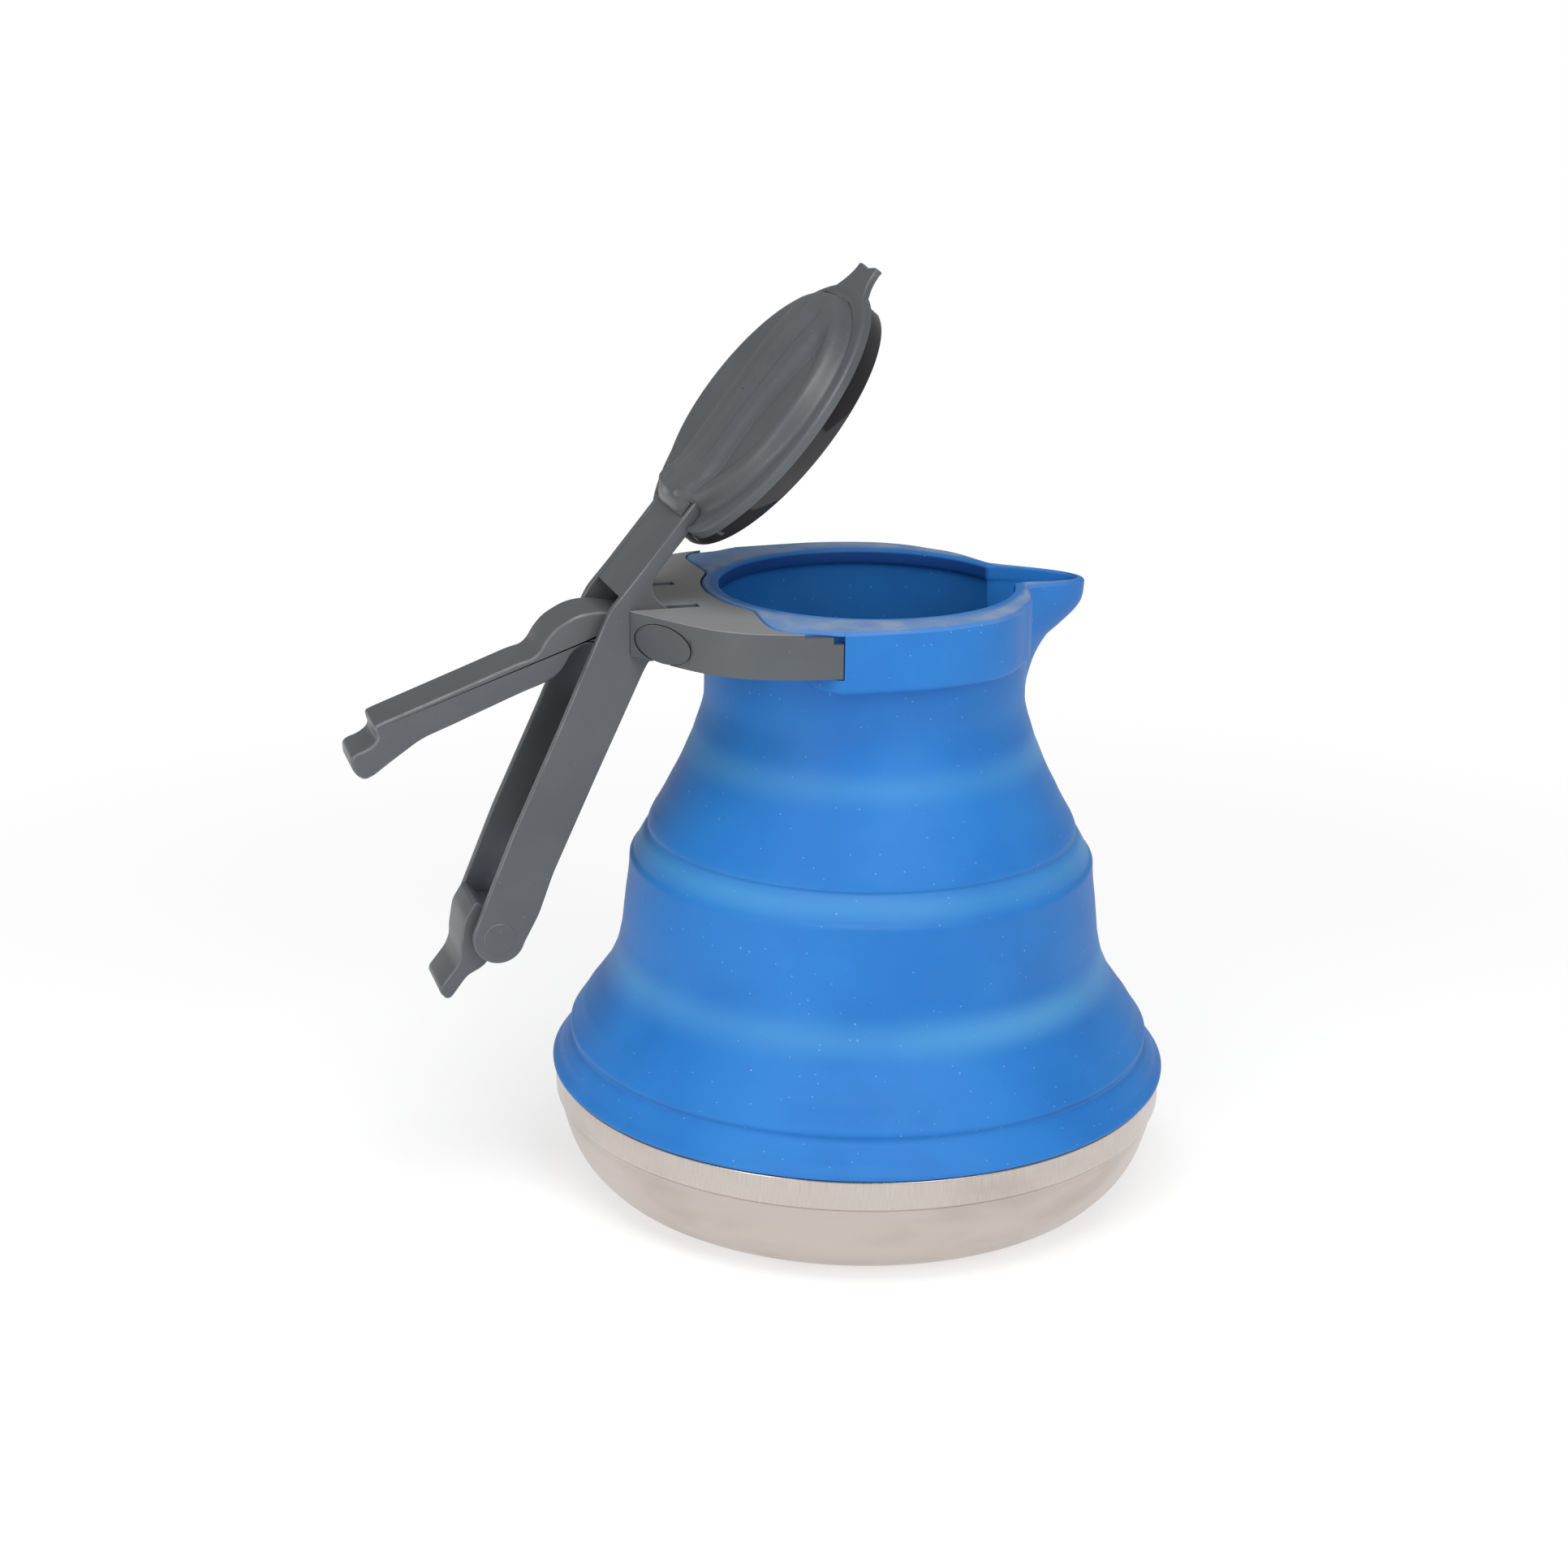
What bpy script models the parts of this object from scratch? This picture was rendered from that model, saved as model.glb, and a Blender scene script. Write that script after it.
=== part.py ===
"""Collapsible camping kettle: a steel pan, a folding silicone body, and a two-part handle that opens the lid.

Metres, +Z up. The origin is the centre of the pan's flat underside, +X points along the spout and -X along the
handle. The part stands at rest as it was photographed: body raised, lid open, handle parted.
"""

from math import radians

import bmesh
import bpy
import numpy as np

GAP = 0.0003
MERGE = 0.000001

# Pan and ring
BASE_RADIUS = 0.0896
PAN_HEIGHT = 0.0346
PAN_WALL = 0.0009
PAN_OUTER_SHARES = (
    (0.735, 0.0), (0.800, 0.026), (0.865, 0.104), (0.905, 0.205), (0.938, 0.335), (0.957, 0.450),
    (0.969, 0.560), (0.976, 0.640), (0.989, 0.690), (1.0, 0.745), (1.0, 1.0),
)
CLAMP_RING_WALL = 0.0012
CLAMP_RING_HEIGHT = 0.0080
PAN_SEGMENTS = 64

# Silicone body: levels at which one band ends and the next begins
SILICONE_WALL = 0.0024
SKIRT_BASE_LEVEL = 0.0350
FOLD_LOWER_LEVEL = 0.0450
MID_RING_LEVEL = 0.0694
FOLD_UPPER_LEVEL = 0.1074
NECK_LEVEL = 0.1334
COLLAR_TOP_LEVEL = 0.1785
SKIRT_FOOT_DEPTH = 0.0086
SKIRT_OVERHANG = 0.0009
SKIRT_RADIUS = BASE_RADIUS + SKIRT_OVERHANG
SKIRT_OUTER_SHARES = ((0.019, 0), (0, 0.1), (0.17, 0.28), (0.471, 0.48), (0.754, 0.72), (1, 1))
FOLD_LOWER_RADIUS = 0.0857
FOLD_LOWER_OUTER_SHARES = (
    (0, 0), (0.054, 0.09), (0.19, 0.205), (0.44, 0.4), (0.708, 0.62), (0.899, 0.83), (1, 1),
)
MID_RING_RADIUS = 0.0713
MID_RING_OUTER_SHARES = (
    (0, 0), (0.094, 0.1), (0.196, 0.24), (0.306, 0.47), (0.439, 0.75), (0.548, 0.8), (0.752, 0.87),
    (0.901, 0.935), (1, 1),
)
FOLD_UPPER_RADIUS = 0.0622
FOLD_UPPER_OUTER_SHARES = (
    (0, 0), (0.144, 0.155), (0.343, 0.33), (0.562, 0.54), (0.776, 0.745), (0.935, 0.92), (1, 1),
)
BAND_SEGMENTS = 48

# Collar: neck, lip, ears and spout
NECK_RADIUS = 0.0460
NECK_FOOT_RADIUS = 0.0497
NECK_OUTER_SHARES = ((0.0, 0.0), (0.42, 0.27), (0.82, 0.55), (1.0, 0.95), (1.0, 1.0))
OPENING_RADIUS = 0.0420
LIP_DEPTH = 0.0044
LIP_OVERHANG = 0.0014
LIP_ROUND = 0.0007
EAR_BASE_LEVEL = 0.1609
EAR_ROUND = 0.0018
EAR_HALF_WIDTH = 0.0544
EAR_CORNER_X = 0.0348
EAR_CORNER_Y = 0.0356
EAR_SIDE_SHARES = (
    (-0.447, 0.985), (-0.221, 0.996), (0.0, 1.0), (0.184, 0.972), (0.373, 0.910), (0.515, 0.809)
)
EAR_REAR_X = 0.0415
COLLAR_BULGE_RADIUS = 0.0468
COLLAR_BULGE_ANGLE = radians(152.6)
EAR_TAIL_X = 0.0375
SPOUT_REACH = 0.0665
SPOUT_FOOT_LEVEL = 0.1400
SPOUT_HALF_ANGLE = radians(20.0)
SPOUT_WALL = 0.0030
SPOUT_DROOP = 0.0020
SPOUT_REACH_SHARES = (0.0, 0.10, 0.235, 0.33, 0.46, 0.64, 0.86, 0.975, 1.0, 1.0)
SPOUT_LEVEL_SHARES = (0.0, 0.18, 0.364, 0.455, 0.545, 0.62, 0.73, 0.825, 0.95, 1.0)

# Yoke clipped round the collar
YOKE_HEIGHT = 0.0125
YOKE_SET_DOWN = 0.0002
YOKE_PLATE = 0.0019
YOKE_WALL = 0.0026
YOKE_CLIP_X = 0.0243
YOKE_TOOTH_LENGTH = 0.0027
YOKE_TOOTH_HEIGHT = 0.0030
YOKE_REAR_X = 0.0728
YOKE_REAR_Y = 0.0154
YOKE_OUTLINE_SHARES = (
    (0.945, 0.411), (0.890, 0.540), (0.832, 0.665), (0.769, 0.772), (0.692, 0.858), (0.604, 0.918),
    (0.495, 0.962),
)
YOKE_END_HALF_WIDTH = 0.0536
YOKE_CHEEK_FRONT_X = 0.0575
YOKE_SLOT_FRONT_X = 0.0530
YOKE_TONGUE_REAR_X = 0.0692

# Hinge shared by the lever, the arm and the yoke
HINGE_X = 0.0666
HINGE_LEVEL = 0.1710
HINGE_HEAD_RADIUS = 0.0052
HINGE_SHANK_RADIUS = 0.0030
HINGE_SHANK_END_Y = 0.0030
HINGE_HEAD_SLANT = 1.875
HINGE_HEAD_Y = 0.0258
RUNNING_CLEARANCE = 0.0003

# Lever: side walls drawn from the hinge, in shares of the reach from hinge pin to latch pin
LEVER_REACH = 0.0948
LEVER_HALF_WIDTH = 0.0150
LEVER_WALL = 0.0025
LEVER_WEB = 0.0020
LEVER_WEB_INSET = 0.0004
LEVER_NECK_PLATE = 0.0018
LEVER_END_RADIUS = 0.0073
LEVER_BOSS_RADIUS = 0.0074
LEVER_LATCH_SHARE = (-0.462, -0.887)
LEVER_TOP_SHARES = ((-0.273, -0.262), (-0.417, -0.574))
LEVER_LOW_SHARES = ((-0.343, -0.822), (-0.299, -0.699), (-0.176, -0.431), (-0.024, -0.105))
LEVER_END_START_ANGLE = radians(152.0)
LEVER_END_TURN = radians(198.0)
LEVER_BOSS_START_ANGLE = radians(-100.0)
LEVER_BOSS_TURN = radians(150.0)
NECK_REACH = 0.0465
NECK_TOP_SHARES = ((0.387, 0.922), (0.2365, 0.746), (-0.116, 0.314), (-0.2406, 0.1692), (-0.273, 0.112))
NECK_LOW_SHARES = (
    (0.096, 0.159), (0.020, 0.224), (0.002, 0.302), (0.029, 0.359), (0.122, 0.475), (0.206, 0.577),
    (0.287, 0.687), (0.440, 0.879),
)
LEVER_WEB_START_SHARE = 0.24
LEVER_WEB_END_SHARE = 0.80
NECK_WEB_SHARES = ((-0.183, 0.230), (0.387, 0.922))

# Carry arm, in shares of its reach from hinge to nose
ARM_REACH = 0.0880
ARM_HALF_WIDTH = 0.0090
ARM_BARREL_RADIUS = 0.0050
ARM_BARREL_HALF_WIDTH = 0.0121
ARM_TOP_SHARES = (
    (0.0, 0.050), (-0.050, 0.052), (-0.100, 0.060), (-0.147, 0.068), (-0.190, 0.066), (-0.228, 0.056),
    (-0.263, 0.038), (-0.290, 0.020), (-0.320, -0.012), (-0.342, -0.050), (-0.362, -0.068),
    (-0.405, -0.078), (-0.609, -0.156), (-0.835, -0.240), (-0.855, -0.250), (-0.858, -0.264),
    (-0.850, -0.290), (-0.862, -0.308), (-0.886, -0.324), (-0.918, -0.334), (-0.932, -0.346),
)
ARM_LOW_SHARES = (
    (-0.930, -0.385), (-0.915, -0.408), (-0.893, -0.420), (-0.865, -0.409), (-0.805, -0.365),
    (-0.715, -0.302), (-0.611, -0.262), (-0.407, -0.180), (-0.330, -0.152), (-0.290, -0.134),
    (-0.262, -0.100), (-0.240, -0.059), (-0.201, -0.032), (-0.150, -0.040), (-0.100, -0.046),
    (0.0, -0.050),
)

# Latch on the lever's end, drawn from its pin with the lever closed, in shares of its reach
LATCH_REACH = 0.0234
LATCH_HALF_WIDTH = 0.0095
LATCH_BARREL_RADIUS = 0.0050
LATCH_PIN_RADIUS = 0.0025
LATCH_PIN_HEAD_RADIUS = 0.0046
LATCH_SHARES = (
    (0.180, 0.316), (0.180, 0.393), (0.165, 0.424), (0.120, 0.436), (-0.085, 0.410), (-0.230, 0.330),
    (-0.367, 0.248), (-0.470, 0.165), (-0.611, 0.126), (-0.930, 0.122), (-0.985, 0.080), (-1.0, -0.020),
    (-0.965, -0.060), (-0.919, -0.066), (-0.628, -0.056), (-0.436, -0.141), (-0.316, -0.150),
    (-0.150, -0.150), (0.050, -0.100), (0.120, 0.100), (0.080, 0.240),
)

# Lid, built level and then turned open about the hinge
LID_OPEN_ANGLE = radians(50.8)
LID_RADIUS = 0.0435
LID_SHIFT_X = -0.0010
LID_SEAT_GAP = 0.0007
LID_SKIN = 0.0012
LID_DOME_HEIGHT = 0.0063
LID_DOME_SHIFT = 0.0025
LID_RING_SHARES = (0.16, 0.31, 0.44, 0.56, 0.67, 0.74, 0.786, 0.811, 0.83, 0.848, 0.865, 0.92, 0.985, 1.0)
LID_SHIFT_SHARES = (1.0, 1.0, 1.0, 1.0, 1.0, 1.0, 1.0, 1.0, 1.0, 0.95, 0.85, 0.45, 0.0, 0.0)
LID_DOME_SHARES = (1.0, 1.0, 1.0, 1.0, 1.03, 1.07, 1.09, 1.03, 0.80, 0.55, 0.43, 0.42, 0.445, 0.37)
LID_RIDGE_HEIGHT = 0.0028
LID_RIDGE_HALF_WIDTH = 0.0125
LID_RIDGE_FADE = 0.0050
LID_RIDGE_SHARES = (1.0, 1.0, 1.0, 1.0, 0.90, 0.60, 0.25, 0.05, 0.0, 0.0, 0.0, 0.0, 0.0, 0.0)
LID_REAR_X = 0.0382
LID_NOSE_X = 0.0362
LID_NOSE_HALF_WIDTH = 0.0128
LID_NOSE_LENGTH = 0.0190
LID_NOSE_LEVEL = 0.1882
LID_NOSE_ROUND = 0.0016
LID_VENT_RADIUS = 0.0007
LID_TAB_REACH = 0.0497
LID_TAB_ROOT_X = 0.0417
LID_TAB_HALF_WIDTH = 0.0100
LID_TAB_ALONG_SHARES = (0.0, 0.13, 0.26, 0.45, 0.65, 1.0)
LID_TAB_WIDTH_SHARES = (1.0, 0.87, 0.77, 0.70, 0.67, 0.73)
LID_TAB_NOTCH = 0.0022
LID_TAB_THICKNESS = 0.0020
LID_TAB_RISE = 0.0002
LID_SEGMENTS = 56
PLUG_RADIUS = 0.0406
PLUG_SHIFT_X = 0.0004
PLUG_SEAT_GAP = 0.0010
PLUG_DEPTH = 0.0050
PLUG_WALL = 0.0016
PLUG_PLATE = 0.0008
PLUG_FLANGE_RADIUS = 0.0410
PLUG_POUR_HALF_WIDTH = 0.0100

ROUND_SEGMENTS = 32
SMALL_SEGMENTS = 24
EDGE_ROUND = 0.0006
FINE_EDGE_ROUND = 0.0004
BEVEL_STEPS = 2

HINGE = np.array((-HINGE_X, 0.0, HINGE_LEVEL))
LATCH_PIN = HINGE + LEVER_REACH * np.array((LEVER_LATCH_SHARE[0], 0.0, LEVER_LATCH_SHARE[1]))
YOKE_TOP_LEVEL = COLLAR_TOP_LEVEL - YOKE_SET_DOWN
YOKE_BASE_LEVEL = YOKE_TOP_LEVEL - YOKE_HEIGHT
LID_EDGE_LEVEL = COLLAR_TOP_LEVEL + LID_SEAT_GAP

MATERIALS = {
    "brushed_steel": ((0.62, 0.58, 0.54), 0.32, 1.0),
    "ring_steel": ((0.55, 0.55, 0.55), 0.40, 1.0),
    "blue_silicone": ((0.03, 0.17, 0.55), 0.45, 0.0),
    "grey_plastic": ((0.11, 0.12, 0.13), 0.45, 0.0),
    "dark_plastic": ((0.02, 0.02, 0.025), 0.15, 0.0),
}


def clear_scene():
    """Empty the startup scene."""
    for obj in list(bpy.data.objects):
        bpy.data.objects.remove(obj, do_unlink=True)
    for mesh in list(bpy.data.meshes):
        bpy.data.meshes.remove(mesh)


def material(name):
    """The Principled material of this name, made on first use."""
    found = bpy.data.materials.get(name)
    if found:
        return found
    colour, roughness, metallic = MATERIALS[name]
    made = bpy.data.materials.new(name)
    made.use_nodes = True
    shader = made.node_tree.nodes["Principled BSDF"]
    shader.inputs["Base Color"].default_value = (*colour, 1.0)
    shader.inputs["Roughness"].default_value = roughness
    shader.inputs["Metallic"].default_value = metallic
    return made


def mesh_object(name, points, faces):
    """An object at the origin from points and faces, its normals turned outward."""
    mesh = bpy.data.meshes.new(name)
    mesh.from_pydata([tuple(p) for p in points], [], faces)
    edit = bmesh.new()
    edit.from_mesh(mesh)
    bmesh.ops.remove_doubles(edit, verts=edit.verts, dist=MERGE)
    bmesh.ops.recalc_face_normals(edit, faces=edit.faces)
    edit.to_mesh(mesh)
    edit.free()
    obj = bpy.data.objects.new(name, mesh)
    bpy.context.scene.collection.objects.link(obj)
    return obj


def applied(obj):
    """Put an object's modifiers into its mesh."""
    bpy.context.view_layer.update()
    graph = bpy.context.evaluated_depsgraph_get()
    mesh = bpy.data.meshes.new_from_object(obj.evaluated_get(graph))
    obj.modifiers.clear()
    old = obj.data
    obj.data = mesh
    bpy.data.meshes.remove(old)
    return obj


def combined(obj, other, operation):
    """Join or cut obj by other, which is used up."""
    step = obj.modifiers.new(operation.lower(), "BOOLEAN")
    step.operation = operation
    step.solver = "EXACT"
    step.object = other
    applied(obj)
    bpy.data.objects.remove(other, do_unlink=True)
    return obj


def joined(obj, *others):
    """Unite obj with each of the others."""
    for other in others:
        combined(obj, other, "UNION")
    return obj


def cut(obj, *others):
    """Cut each of the others out of obj."""
    for other in others:
        combined(obj, other, "DIFFERENCE")
    return obj


def bevelled(obj, width, steps=BEVEL_STEPS):
    """Round the sharp edges of obj."""
    step = obj.modifiers.new("round", "BEVEL")
    step.width = width
    step.segments = steps
    step.limit_method = "ANGLE"
    step.angle_limit = radians(40.0)
    step.use_clamp_overlap = True
    return applied(obj)


def finished(obj, name, material_name, origin=None):
    """Name an object, give it its material and put its origin on its joint."""
    place = np.zeros(3) if origin is None else np.asarray(origin, float)
    points = np.empty(len(obj.data.vertices) * 3)
    obj.data.vertices.foreach_get("co", points)
    obj.data.vertices.foreach_set("co", (points.reshape(-1, 3) - place).ravel())
    obj.data.update()
    obj.location = place
    obj.name = name
    obj.data.name = name
    obj.data.materials.clear()
    obj.data.materials.append(material(material_name))
    return obj


def ring_shell(name, rows):
    """A closed shell from rows of points round Z, each row joined to the next and the last to the first."""
    rows = [np.asarray(row, float) for row in rows]
    count = len(rows[0])
    points = np.concatenate(rows)
    faces = []
    for i in range(len(rows)):
        after = (i + 1) % len(rows)
        for j in range(count):
            k = (j + 1) % count
            faces.append((i * count + j, i * count + k, after * count + k, after * count + j))
    return mesh_object(name, points, faces)


def angles(count):
    """Evenly spaced angles of one turn."""
    return np.arange(count) * (radians(360.0) / count)


def circle_row(radius, level, count):
    """One level row of a turned shape."""
    turn = angles(count)
    return np.stack([radius * np.cos(turn), radius * np.sin(turn), np.full(count, level)], axis=1)


def turned(name, profile, count):
    """A turned ring whose section is the closed profile of (radius, level) points."""
    return ring_shell(name, [circle_row(radius, level, count) for radius, level in profile])


def prism(name, outline, low, high, axis="Z"):
    """A straight prism. outline is (x, y) for axis Z and (x, z) for axis Y."""
    outline = np.asarray(outline, float)
    count = len(outline)
    points = []
    for end in (low, high):
        for a, b in outline:
            points.append((a, b, end) if axis == "Z" else (a, end, b))
    faces = [tuple(range(count)), tuple(range(2 * count - 1, count - 1, -1))]
    for i in range(count):
        j = (i + 1) % count
        faces.append((i, j, count + j, count + i))
    return mesh_object(name, points, faces)


def box(name, low, high):
    """A box between two corners."""
    outline = ((low[0], low[1]), (high[0], low[1]), (high[0], high[1]), (low[0], high[1]))
    return prism(name, outline, low[2], high[2])


def round_outline(centre, radius, count, start=0.0, turn=radians(360.0)):
    """Points on an arc, without its end where the arc is a full turn."""
    full = abs(turn) >= radians(360.0)
    steps = np.arange(count) / (count if full else count - 1)
    at = start + turn * steps
    return np.stack([centre[0] + radius * np.cos(at), centre[1] + radius * np.sin(at)], axis=1)


def cylinder_y(name, centre, radius, low, high, count=ROUND_SEGMENTS):
    """A cylinder along Y."""
    return prism(name, round_outline((centre[0], centre[2]), radius, count), low, high, axis="Y")


def bored(obj, centre, radius):
    """Cut a hole along Y right through an object."""
    return cut(obj, cylinder_y("bore", centre, radius, -EAR_HALF_WIDTH, EAR_HALF_WIDTH, SMALL_SEGMENTS))


def disc(name, centre_x, radius, low, high):
    """A flat round plate on the lid's line."""
    return prism(name, round_outline((centre_x, 0.0), radius, LID_SEGMENTS), low, high)


def offset_inward(outer, wall):
    """The inner side of a wall whose outer side is a line of (radius, level) points."""
    outer = np.asarray(outer, float)
    along = np.gradient(outer, axis=0)
    along /= np.linalg.norm(along, axis=1)[:, None]
    inner = outer + wall * np.stack([-along[:, 1], along[:, 0]], axis=1)
    inner[:, 1] = np.clip(inner[:, 1], outer[0, 1], outer[-1, 1])
    inner[0, 1] = outer[0, 1]
    inner[-1, 1] = outer[-1, 1]
    return inner


def band_outline(radii, levels, shares):
    """Outer side of a silicone band, from one radius and level to the next, less half a gap."""
    low = levels[0] + GAP / 2
    high = levels[1] - GAP / 2
    return np.array([(radii[0] + (radii[1] - radii[0]) * r, low + (high - low) * h) for r, h in shares])


def band(name, outer):
    """A silicone band with an even wall."""
    inner = offset_inward(outer, SILICONE_WALL)
    return turned(name, list(outer) + list(inner[::-1]), BAND_SEGMENTS)


def build_pan():
    """The steel pan with its open top."""
    outer = np.array([(BASE_RADIUS * r, PAN_HEIGHT * h) for r, h in PAN_OUTER_SHARES])
    along = np.gradient(outer, axis=0)
    along /= np.linalg.norm(along, axis=1)[:, None]
    inner = outer + PAN_WALL * np.stack([-along[:, 1], along[:, 0]], axis=1)
    inner[0] = (outer[0, 0], PAN_WALL)
    inner[-1, 1] = PAN_HEIGHT
    inner[-2, 0] = inner[-1, 0]
    count = PAN_SEGMENTS
    rows = [circle_row(r, z, count) for r, z in list(outer) + list(inner[::-1])]
    points = np.concatenate(rows + [np.zeros((1, 3)), np.array([(0.0, 0.0, PAN_WALL)])])
    faces = []
    for i in range(len(rows) - 1):
        for j in range(count):
            k = (j + 1) % count
            faces.append((i * count + j, i * count + k, (i + 1) * count + k, (i + 1) * count + j))
    under = len(rows) * count
    last = (len(rows) - 1) * count
    for j in range(count):
        k = (j + 1) % count
        faces.append((k, j, under))
        faces.append((last + j, last + k, under + 1))
    return finished(mesh_object("pan", points, faces), "steel_pan", "brushed_steel")


def build_base_rings():
    """The silicone skirt with its foot in the pan, and the ring that holds the foot."""
    foot_outer = BASE_RADIUS - PAN_WALL - GAP
    foot_inner = foot_outer - SILICONE_WALL
    foot_level = SKIRT_BASE_LEVEL - SKIRT_FOOT_DEPTH
    top = FOLD_LOWER_LEVEL - GAP / 2
    flare = FOLD_LOWER_RADIUS - SKIRT_RADIUS
    rise = top - SKIRT_BASE_LEVEL
    outer = np.array(
        [(SKIRT_RADIUS + flare * r, SKIRT_BASE_LEVEL + rise * h) for r, h in SKIRT_OUTER_SHARES]
    )
    inner = offset_inward(outer, SILICONE_WALL)
    inner[0, 0] = foot_inner
    profile = [(foot_inner, foot_level), (foot_outer, foot_level), (foot_outer, SKIRT_BASE_LEVEL)]
    profile += list(outer) + list(inner[::-1])
    finished(turned("skirt", profile, BAND_SEGMENTS), "silicone_skirt", "blue_silicone")
    ring_outer = foot_inner - GAP
    ring_inner = ring_outer - CLAMP_RING_WALL
    ring_top = foot_level + CLAMP_RING_HEIGHT
    profile = [
        (ring_inner, foot_level), (ring_outer, foot_level), (ring_outer, ring_top), (ring_inner, ring_top),
    ]
    finished(turned("clamp", profile, BAND_SEGMENTS), "clamp_ring", "ring_steel")


def build_bands():
    """The two folds and the middle ring between them."""
    radii = (FOLD_LOWER_RADIUS, MID_RING_RADIUS)
    fold = band_outline(radii, (FOLD_LOWER_LEVEL, MID_RING_LEVEL), FOLD_LOWER_OUTER_SHARES)
    finished(band("fold", fold), "silicone_fold_lower", "blue_silicone")
    radii = (MID_RING_RADIUS, FOLD_UPPER_RADIUS)
    ring = band_outline(radii, (MID_RING_LEVEL, FOLD_UPPER_LEVEL), MID_RING_OUTER_SHARES)
    finished(band("ring", ring), "silicone_mid_ring", "blue_silicone")
    radii = (FOLD_UPPER_RADIUS, NECK_FOOT_RADIUS)
    fold = band_outline(radii, (FOLD_UPPER_LEVEL, NECK_LEVEL), FOLD_UPPER_OUTER_SHARES)
    finished(band("fold", fold), "silicone_fold_upper", "blue_silicone")


def yoke_side():
    """Outer line of the yoke on its -Y side, from the rear cheek to the clip's end, as (x, y) points."""
    points = [(-YOKE_REAR_X, -YOKE_REAR_Y)]
    points += [(-YOKE_REAR_X * a, -YOKE_END_HALF_WIDTH * b) for a, b in YOKE_OUTLINE_SHARES]
    points.append((-YOKE_CLIP_X, -YOKE_END_HALF_WIDTH))
    return np.array(points)


def inset(line, wall):
    """A line of (x, y) points moved to its left by the wall."""
    line = np.asarray(line, float)
    along = np.gradient(line, axis=0)
    along /= np.linalg.norm(along, axis=1)[:, None]
    return line + wall * np.stack([-along[:, 1], along[:, 0]], axis=1)


def collar_lines():
    """Half outlines of the collar on its -Y side from rear to spout: round the clip, and full below it."""
    recess = inset(yoke_side(), YOKE_WALL + GAP)
    behind = recess[recess[:, 0] > -EAR_REAR_X]
    rear_corner = (-EAR_REAR_X, np.interp(-EAR_REAR_X, recess[:, 0], recess[:, 1]))
    side = [(EAR_HALF_WIDTH * a, -EAR_HALF_WIDTH * b) for a, b in EAR_SIDE_SHARES]
    front = side + [(EAR_CORNER_X, -EAR_CORNER_Y)]
    rear_inner = (-EAR_REAR_X, -EAR_REAR_X * np.tan(radians(180.0) - COLLAR_BULGE_ANGLE))
    clip_end = (-YOKE_CLIP_X + GAP, behind[-1][1])
    clip_face = (-YOKE_CLIP_X + GAP, -YOKE_END_HALF_WIDTH)
    upper = [rear_inner, rear_corner, *[tuple(p) for p in behind[:-1]], clip_end, clip_face, *front]
    full = yoke_side()
    lower = [
        (-EAR_TAIL_X, rear_inner[1]),
        (-EAR_TAIL_X, np.interp(-EAR_TAIL_X, full[:, 0], full[:, 1]) + EAR_ROUND),
    ]
    lower += [tuple(p) for p in full[full[:, 0] > -EAR_TAIL_X]]
    lower += front
    return np.array(upper), np.array(lower)


def polar_radius(line, turn):
    """Radius of a line of (x, y) points at each angle off +X, along rays from the centre."""
    line = np.asarray(line, float)
    at = np.arctan2(np.abs(line[:, 1]), line[:, 0])
    found = np.full(len(turn), np.nan)
    for (x0, y0), (x1, y1), a0, a1 in zip(line[:-1], line[1:], at[:-1], at[1:]):
        inside = (turn <= max(a0, a1) + MERGE) & (turn >= min(a0, a1) - MERGE)
        dx, dy = x1 - x0, abs(y1) - abs(y0)
        across = np.cos(turn) * dy - np.sin(turn) * dx
        hit = (x0 * dy - abs(y0) * dx) / np.where(np.abs(across) < MERGE, np.inf, across)
        found = np.where(inside & (hit > 0), np.fmax(np.nan_to_num(found, nan=0.0), hit), found)
    return found


def collar_angles(upper, lower):
    """Half-turn angles for the collar, with one at each corner of its outlines."""
    even = np.linspace(0.0, radians(180.0), BAND_SEGMENTS // 2 + 1)
    spout = np.linspace(0.0, SPOUT_HALF_ANGLE, 9)
    corners = np.concatenate([np.arctan2(np.abs(line[:, 1]), line[:, 0]) for line in (upper, lower)])
    every = np.sort(np.concatenate([even, spout, corners]))
    keep = [every[0]]
    for value in every[1:]:
        if value - keep[-1] > radians(0.9):
            keep.append(value)
        elif np.min(np.abs(corners - value)) < MERGE and np.min(np.abs(corners - keep[-1])) > MERGE:
            keep[-1] = value
    keep[-1] = radians(180.0)
    return np.array(keep)


def mirrored_turn(half):
    """A full turn from the angles of a half turn."""
    return np.concatenate([half, -half[-2:0:-1]])


def spout_reach(level):
    """How far the spout's ridge stands from the axis at a level."""
    levels = SPOUT_FOOT_LEVEL + (COLLAR_TOP_LEVEL - SPOUT_FOOT_LEVEL) * np.array(SPOUT_LEVEL_SHARES)
    reach = NECK_RADIUS + (SPOUT_REACH - NECK_RADIUS) * np.array(SPOUT_REACH_SHARES)
    return np.interp(level, levels, reach)


def spout_bump(turn):
    """Share of the spout's reach at each angle off its ridge."""
    off = np.minimum(np.abs(turn), SPOUT_HALF_ANGLE)
    return (1.0 + np.cos(radians(180.0) * off / SPOUT_HALF_ANGLE)) / 2.0


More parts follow.
